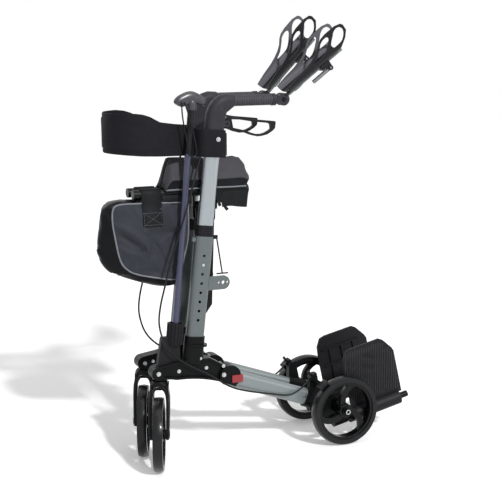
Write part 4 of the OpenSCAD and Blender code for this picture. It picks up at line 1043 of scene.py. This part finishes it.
class BagOperator(bpy.types.Operator):
    """Makes the bag: creased side panels, coated gusset, piping, hems and sewn straps"""

    bl_idname = "walker.bag"
    bl_label = "Bag"

    def execute(self, context):
        side, middle = (
            catmull([(x, z, 0) for x, z in outline], BAG_STEPS, closed=True)
            for outline in (BAG_SIDE, BAG_MIDDLE)
        )
        rings = [gusset_ring(side, middle, 2 * share - 1) for share in shares(BAG_ROWS)]
        verts, faces = loft(rings, caps=False)
        marks = [1] * len(faces)
        for sign in SIDES.values():
            points, panel = side_panel(side, sign)
            faces += [tuple(len(verts) + i for i in face) for face in panel]
            verts += points
            marks += [0] * len(panel)
        bag = new_piece("bag_shell", (verts, faces), "bag", "gusset", sharp=50)
        for face, mark in zip(bag.data.polygons, marks):
            face.material_index = mark
        seam = BAG_HALF * MM
        settle(bag, lambda p: abs(abs(p.y - POST_FOOT.y) - seam) < 1e-6, pressure=1.0, slack=0.03, cap=6)
        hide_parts("bag")
        parted(bag)
        for name, sign in SIDES.items():
            line = [at(p[0], sign * (BAG_HALF - 0.2), p[1]) for p in side]
            piping = tube("bag_piping_" + name, line, sizes().piping_radius, "piping", sides=10, closed=True)
            worn(piping, name + "_rail")
            self.straps(name, sign)
        return {"FINISHED"}

    def straps(self, name, sign):
        """Webbing from the rail down the panel, sewn on with a crossed box, and a hem beside it."""
        line = catmull([at(STRAP_X, sign * y, z) for y, z in STRAP_ROUTE], 3)
        belt = strap("bag_strap_" + name, line, REARWARD, "webbing", width=56, thick=2.2)
        worn(belt, name + "_rail")
        drop = [(-z, y) for y, z in STRAP_HANG]
        rows = []
        for (a, za), (b, zb) in zip(STRAP_BOX, STRAP_BOX[1:]):
            points = []
            for u in shares(9):
                z = za + (zb - za) * u
                points.append(at(STRAP_X + a + (b - a) * u, sign * (along_edge(drop, -z) + 1.4), z))
            rows.append(stitches(f"stitch_{len(rows)}", points))
        edge = catmull([at(x, sign * y, 721) for x, y in HEM_ROUTE], 4)
        hem = strap("bag_hem_" + name, edge, UPWARD, "webbing", width=26, thick=1.8)
        worn(hem, name + "_rail")
        worn(joined("bag_strap_stitching_" + name, rows), name + "_rail")


# Half of the seat's folded section, from the rail up over a ridge to the valley: distance out and height
SEAT_SECTION = [
    (36.5, 741), (37, 748), (38.6, 760), (40.6, 770), (40.4, 774), (37, 781), (32.5, 792), (27, 805), (21, 818),
    (15, 826), (9.5, 821), (6.4, 804), (4.2, 786), (2, 776), (0, 774),
]
SEAT_BASE = SEAT_SECTION[0][1]
# Below the crease the seat's outer faces are webbing
SEAT_CREASE = 772
SEAT_FRONT, SEAT_REAR = -62, 176
SEAT_ROWS = 34
FLAP_ROWS, FLAP_COLUMNS = 12, 26
STRAP_END_TOP = 737


def seat_ring(line, share):
    """The seat's section at a share of its length: low at the front, wavy along its ridges."""
    x = SEAT_FRONT + (SEAT_REAR - SEAT_FRONT) * share
    front = min(1.0, 0.25 + share / 0.14)
    rise = front * (3 * front - 2 * front ** 2)
    rear = 1 - 0.25 * max(0.0, (share - 0.93) / 0.07)
    points = []
    for k, (y, z) in enumerate(line):
        up = (z - SEAT_BASE) * rise * rear
        wave = 2.2 * math.sin(share * 15 + k * 0.35) * math.sin(math.pi * k / (len(line) - 1)) ** 0.5
        dent = 1.6 * math.sin(share * 31 + 2.1 * (z - SEAT_BASE) / 20)
        side = math.copysign(1, y) if y else 0
        hump = 3.0 * math.sin(share * 6.0 + 0.7) * (up / 80)
        slide = 7 * math.exp(-((up - 32) / 12) ** 2) * max(0.0, (share - 0.85) / 0.15)
        points.append(at(x + slide, y + side * (wave + dent) * 0.4 * (up > 4), SEAT_BASE + up + hump))
    return points


class SeatOperator(bpy.types.Operator):
    """Makes the folded seat cloth with its piping, hanging flaps and strap ends"""

    bl_idname = "walker.seat"
    bl_label = "Seat"

    def execute(self, context):
        half = catmull([(y, z, 0) for y, z in SEAT_SECTION], 4)
        line = [(-p[0], p[1]) for p in half] + [(p[0], p[1]) for p in reversed(half[:-1])]
        rings = [seat_ring(line, share) for share in shares(SEAT_ROWS)]
        shape = loft(rings, closed_ring=False, caps=False)
        seat = new_piece("seat_cloth", shape, "seat", "webbing", sharp=70)
        for number, face in enumerate(seat.data.polygons):
            y, z = line[number % (len(line) - 1)]
            face.material_index = int(abs(y) > 30 and z < SEAT_CREASE)
        thicken(seat)
        seat.data.shade_smooth()
        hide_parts("seat")
        parted(seat)
        for name, sign in SIDES.items():
            edges = []
            for number, (y, z, key) in enumerate(((38.4, 748, "piping"), (38, 739, "webbing"))):
                path = [at(x, sign * y, z + 0.6 * math.sin(x / 30)) for x in range(-58, 181, 8)]
                edges.append(tube(f"edge_{number}", path, sizes().piping_radius, key, sides=8))
            worn(joined("seat_piping_" + name, edges), name + "_rail")
            self.flap(name, sign)
            self.strap_ends(name, sign)
        return {"FINISHED"}

    def flap(self, name, sign):
        """A hem of the seat that hangs below the rail."""
        rings = []
        for drop in shares(FLAP_ROWS):
            points = []
            for share in shares(FLAP_COLUMNS):
                x = 101 + 80 * share - 6 * drop * share
                ripple = (1.5 + 2.5 * drop) * math.sin(share * 11 + drop * 1.5)
                z = 736 - 44 * drop + 3 * drop * math.sin(share * 4 + 0.6)
                points.append(at(x, sign * (38.5 + 1.5 * drop + 0.5 * ripple), z))
            rings.append(points)
        shape = loft(rings, closed_ring=False, caps=False)
        hem = new_piece("seat_flap_" + name, shape, "webbing", sharp=70)
        thicken(hem)
        worn(hem, name + "_rail")

    def strap_ends(self, name, sign):
        """Two loose strap ends beside the flap."""
        ends = []
        for number, (x, lean, fall) in enumerate(((86, 9, 40), (94, 22, 52))):
            path = catmull([
                at(x + lean * a, sign * (42.5 + number), STRAP_END_TOP - fall * b)
                for a, b in ((0, 0), (0.2, 0.4), (0.6, 0.75), (1, 1))
            ], 4)
            ends.append(strap(f"end_{number}", path, Vector((1, 0, 0.4)), "webbing", width=9, thick=1.6))
        worn(joined("seat_strap_ends_" + name, ends), name + "_rail")


BAND_FRONT, BAND_REAR = -217, 97
BAND_Y = 80.7
BAND_TURN = BAND_FRONT + BAND_Y + 2
# Upper and lower edges of the band: X and Z
BAND_TOP = [
    (-218, 957), (-157, 958), (-134, 955), (-114, 948.5), (-95, 938), (-74, 928), (-32, 920), (9, 914), (98, 906),
]
BAND_BOTTOM = [(-218, 852.5), (-172, 849), (-90, 843), (8, 838), (98, 833)]
# The band's left side dips in behind the cane: X, and distance out from the middle
BAND_DIP = [
    (BAND_REAR, BAND_Y), (80, BAND_Y), (64, BAND_Y), (50, 80.4), (40, 79), (32, 73), (26.5, 64), (22.5, 54.5),
    (17, 47.8), (8, 45.2), (-5, 44.8), (-18, 46.5), (-36, 53), (-60, 62), (-90, 72), (-120, 78.6),
    (BAND_TURN, BAND_Y),
]
DIP_STEPS = 4
# Columns that don't swell: the left end with most of its dip
BAND_HELD = DIP_STEPS * 13
# Points up a column
BAND_HEIGHTS = 22
PLATE_Z, PLATE_HALF = 869, 30


class BandOperator(bpy.types.Operator):
    """Makes the padded backrest band with bound edges, seams, end plates and rivets"""

    bl_idname = "walker.band"
    bl_label = "Backrest band"

    def path(self):
        """The loop from the left post round the front to the right post, in the XY plane."""
        dipped = [(p.x, -p.y) for p in catmull([(x, y, 0) for x, y in BAND_DIP], DIP_STEPS)][:-1]
        turns = [math.pi * i / 40 for i in range(41)]
        bend = [(BAND_TURN - BAND_Y * math.sin(t), -BAND_Y * math.cos(t)) for t in turns]
        right = [(BAND_REAR - (BAND_REAR - BAND_TURN) * i / 24, BAND_Y) for i in reversed(range(24))]
        return dipped + bend + right

    def execute(self, context):
        line = self.path()
        count = len(line)
        rings = []
        for i, (x, y) in enumerate(line):
            a, b = line[max(0, i - 1)], line[min(count - 1, i + 1)]
            way = Vector((b[0] - a[0], b[1] - a[1], 0)).normalized()
            out = Vector((-way.y, way.x, 0))
            top, low = along_edge(BAND_TOP, x), along_edge(BAND_BOTTOM, x)
            ends = min(1, min(i, count - 1 - i) / 3)
            outer, inner = [], []
            for share in shares(BAND_HEIGHTS):
                crown = (1 - (2 * share - 1) ** 8) ** 0.5
                seam = math.exp(-((share - 0.09) / 0.02) ** 2) + math.exp(-((share - 0.91) / 0.02) ** 2)
                puff = 1.4 + (2.0 * crown - 1.0 * seam) * (0.35 + 0.65 * ends)
                sway = 1.2 * math.sin(i * 0.33 + 2 * share) * ends
                spot = at(x, y, low + (top - low) * share)
                outer.append(spot + out * (puff + sway) * MM)
                inner.append(spot - out * (puff * 0.8 - sway) * MM)
            rings.append(outer + inner[::-1])
        band = new_piece("band_pad", loft(rings), "band", sharp=60)
        self.swell(band, count)
        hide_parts("back_band")
        parted(band)
        self.plates()
        return {"FINISHED"}

    def swell(self, band, count):
        """Puffs the panels between the bound edges, which stay where they are, as do the dip and the ends."""
        rim = set()
        for i, vertex in enumerate(band.data.vertices):
            share = i % BAND_HEIGHTS / (BAND_HEIGHTS - 1)
            column = i // (2 * BAND_HEIGHTS)
            if not 0.12 <= share <= 0.88 or not BAND_HELD <= column <= count - 4:
                rim.add(tuple(vertex.co))
        settle(band, lambda p: tuple(p) in rim, pressure=3.0, slack=0.015, cap=4)

    def plates(self):
        """Two bars sewn in at each end of the band, and a rivet."""
        for name, sign in SIDES.items():
            bars = []
            for x in (95.5, 86):
                line = [at(x, sign * (BAND_Y + 2.6), PLATE_Z + PLATE_HALF * k) for k in (-1, 0, 1)]
                bars.append(strap(f"plate_{len(bars)}", line, REARWARD, "moulded", width=8, thick=2.4))
            worn(joined("band_end_plate_" + name, bars), name + "_upper")
            rivet = (at(74, sign * (BAND_Y + 5.4), 883), RIGHTWARD * sign, 1.0)
            bolts("band_rivets_" + name, [rivet], name + "_upper")


BOLTED_NODES = ["bracket", "rear_leg", "wheel_carrier", "lower_post"]
# Bolts on the outer and inner faces of a side frame: X, Z and size
OUTER_BOLTS = [
    (-102, 254.6, 1.0), (-41, 253.7, 0.85), (39, 255, 0.8), (86.5, 257, 0.8), (87, 232, 1.0), (336, 140, 1.0),
    (20, 285, 0.6),
]
INNER_BOLTS = [(-100, 254, 0.9), (-73, 255, 0.7), (-50, 251, 0.8), (91, 255.6, 0.8)]
# Bolts on a handle: X, distance out from the post, Z and size
HANDLE_BOLTS = [(106, 8.5, 922, 0.8), (271, 12.9, 983, 1.0)]
# Spans along a post of the dark strips that stand for the painted shade inside the height holes
HOLE_SHADE_SPANS = [(215, 274), (293, 311)]
# Radius and height of a hub ring's edges
HUB_PROFILE = [(7.4, -2.4), (7.4, -0.2), (6.6, 0.7), (5.2, 0.7), (4.6, 0.1), (4.2, -0.6)]
RIB_PITCH = 7.5
RIB_PROBES = 60
# Half of a fork's shell from a leg to the top: distance out, Z, distance back, half width and half thickness
FORK_HALF = [
    (23.6, 88, 60, 8, 4.2), (23.6, 100, 60, 13, 4.6), (23.8, 122, 54, 12.5, 5), (24, 150, 44, 13.5, 5.4),
    (24, 178, 31, 16, 5.8), (22, 199, 19, 18.5, 6.4), (15.5, 212.5, 11, 20, 7), (7, 217, 7, 20.5, 7.4),
]
FORK_TOP = (0, 218, 6, 20.5, 7.5)


def squared(part):
    """A part of the unit circle, filled out towards a square."""
    return math.copysign(abs(part) ** 0.6, part)


class FastenersOperator(bpy.types.Operator):
    """Makes the bolts, the dark strips of painted shade in the posts' height holes, the fork shells, the tread ribs
    and the hub rings
    """

    bl_idname = "walker.fasteners"
    bl_label = "Fasteners and trim"

    def execute(self, context):
        for name, sign in SIDES.items():
            outward, inward = RIGHTWARD * sign, RIGHTWARD * -sign
            tree = surface_of(*(f"{node}_{name}" for node in BOLTED_NODES))
            places = [
                (mount_point(tree, at(x, sign * POST_Y, z), -way), way, size)
                for way, spots in ((outward, OUTER_BOLTS), (inward, INNER_BOLTS)) for x, z, size in spots
            ]
            bolts("frame_bolts_" + name, places, name + "_frame")
            places = [(at(x, sign * (POST_Y + out), z), outward, size) for x, out, z, size in HANDLE_BOLTS]
            bolts("handle_bolts_" + name, places, name + "_upper", "enamel")
            self.paint_hole_shade(name, outward)
            self.fork(name)
            self.ribs(name, sign)
            self.hub(name, inward)
        return {"FINISHED"}

    def paint_hole_shade(self, name, outward):
        """Dark strips on the outer face of the upper post, seen through the height holes: painted shade standing in
        for the shadow inside them.
        """
        made = []
        for low, high in HOLE_SHADE_SPANS:
            line = [on_post(name, low + (high - low) * k / 2) + outward * 12.1 * MM for k in range(3)]
            made.append(strap(f"hole_shade_{low}", line, REARWARD, "jacket", width=14, thick=0.9))
        worn(joined("post_hole_shade_" + name, made), name + "_upper")

    def ribs(self, name, sign):
        """Fine ribs on the tread of a footplate, each as long as the flat that it stands on."""
        tree = surface_of("footplate_" + name)
        low, high = (Vector(corner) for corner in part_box("footplate_" + name))
        flat = low.y if sign < 0 else high.y
        made = []
        for k in range(1, int((high.x - low.x) / (RIB_PITCH * MM))):
            run = []
            for i in range(RIB_PROBES):
                z = low.z + (high.z - low.z) * (i + 0.5) / RIB_PROBES
                start = Vector((low.x + k * RIB_PITCH * MM, sign * 1.0, z))
                hit, facing, _, _ = tree.ray_cast(start, RIGHTWARD * -sign, 2.0)
                if hit is not None and abs(facing.y) > 0.8 and abs(hit.y - flat) < 0.06:
                    run.append((hit, facing))
            run = [p for p, facing in run if facing.dot(run[len(run) // 2][1]) > 0.9995]
            if len(run) > 8:
                line = [run[2], run[len(run) // 2], run[-3]]
                made.append(strap(f"rib_{k}", line, REARWARD, "tread", width=2.6, thick=1.8))
        worn(joined("tread_ribs_" + name, made), "footplate_" + name)

    def hub(self, name, inward):
        """A bright ring round the end of the rear axle."""
        axle = Vector(JOINTS["rear_roll_" + name]["pos_m"])
        face = mount_point(surface_of("wheel_carrier_" + name), axle, inward)
        worn(turned("hub_ring_" + name, face, -inward, HUB_PROFILE, "zinc"), name + "_frame")

    def fork(self, name):
        """The arched shell of a caster fork: round shoulders that run down into its two legs."""
        stem = Vector(JOINTS["swivel_" + name]["pos_m"])
        axle = Vector(JOINTS["front_roll_" + name]["pos_m"])
        back = Vector((axle.x - stem.x, axle.y - stem.y, 0)).normalized()
        side = Vector((-back.y, back.x, 0))
        path = [*FORK_HALF, FORK_TOP, *((-y, *rest) for y, *rest in reversed(FORK_HALF))]
        spine = catmull([p[:3] for p in path], 4)
        trim = catmull([(*p[3:], 0) for p in path], 4)
        foot = Vector((stem.x, stem.y, 0))
        line = [foot + (side * y + back * x + UPWARD * z) * MM for y, z, x in spine]
        rings = []
        for p, (way, _, _), (wide, thick, _) in zip(line, frames_along(line), trim):
            across = (back - way * back.dot(way)).normalized()
            section = [(wide * squared(c), thick * squared(s)) for c, s in circle(24, 0.5)]
            rings.append(laid(p, across, way.cross(across), section))
        shell = new_piece("fork_shell_" + name, loft(rings), "rim", sharp=60)
        worn(shell, "caster_" + name)


OPERATORS = [
    StageOperator, CordsOperator, FinishesOperator, ElbowsOperator, CaneOperator, BagOperator, SeatOperator,
    BandOperator, FastenersOperator,
]


class WalkerPanel(bpy.types.Panel):
    """Lists the walker's pieces and values"""

    bl_idname = "VIEW3D_PT_walker"
    bl_label = "Upright walker"
    bl_space_type = "VIEW_3D"
    bl_region_type = "UI"
    bl_category = "Walker"

    def draw(self, context):
        for kind in OPERATORS:
            self.layout.operator(kind.bl_idname)
        for group in (sizes(), colours()):
            for key in group.__annotations__:
                self.layout.prop(group, key)


CLASSES = [WalkerColours, WalkerSizes, *OPERATORS, WalkerPanel]


def register():
    for kind in CLASSES:
        bpy.utils.register_class(kind)
    bpy.types.Scene.walker_sizes = bpy.props.PointerProperty(type=WalkerSizes)
    bpy.types.Scene.walker_colours = bpy.props.PointerProperty(type=WalkerColours)


def unregister():
    del bpy.types.Scene.walker_colours
    del bpy.types.Scene.walker_sizes
    for kind in reversed(CLASSES):
        bpy.utils.unregister_class(kind)


def main():
    register()
    for kind in OPERATORS:
        group, name = kind.bl_idname.split(".")
        getattr(getattr(bpy.ops, group), name)()


if __name__ == "__main__":
    main()
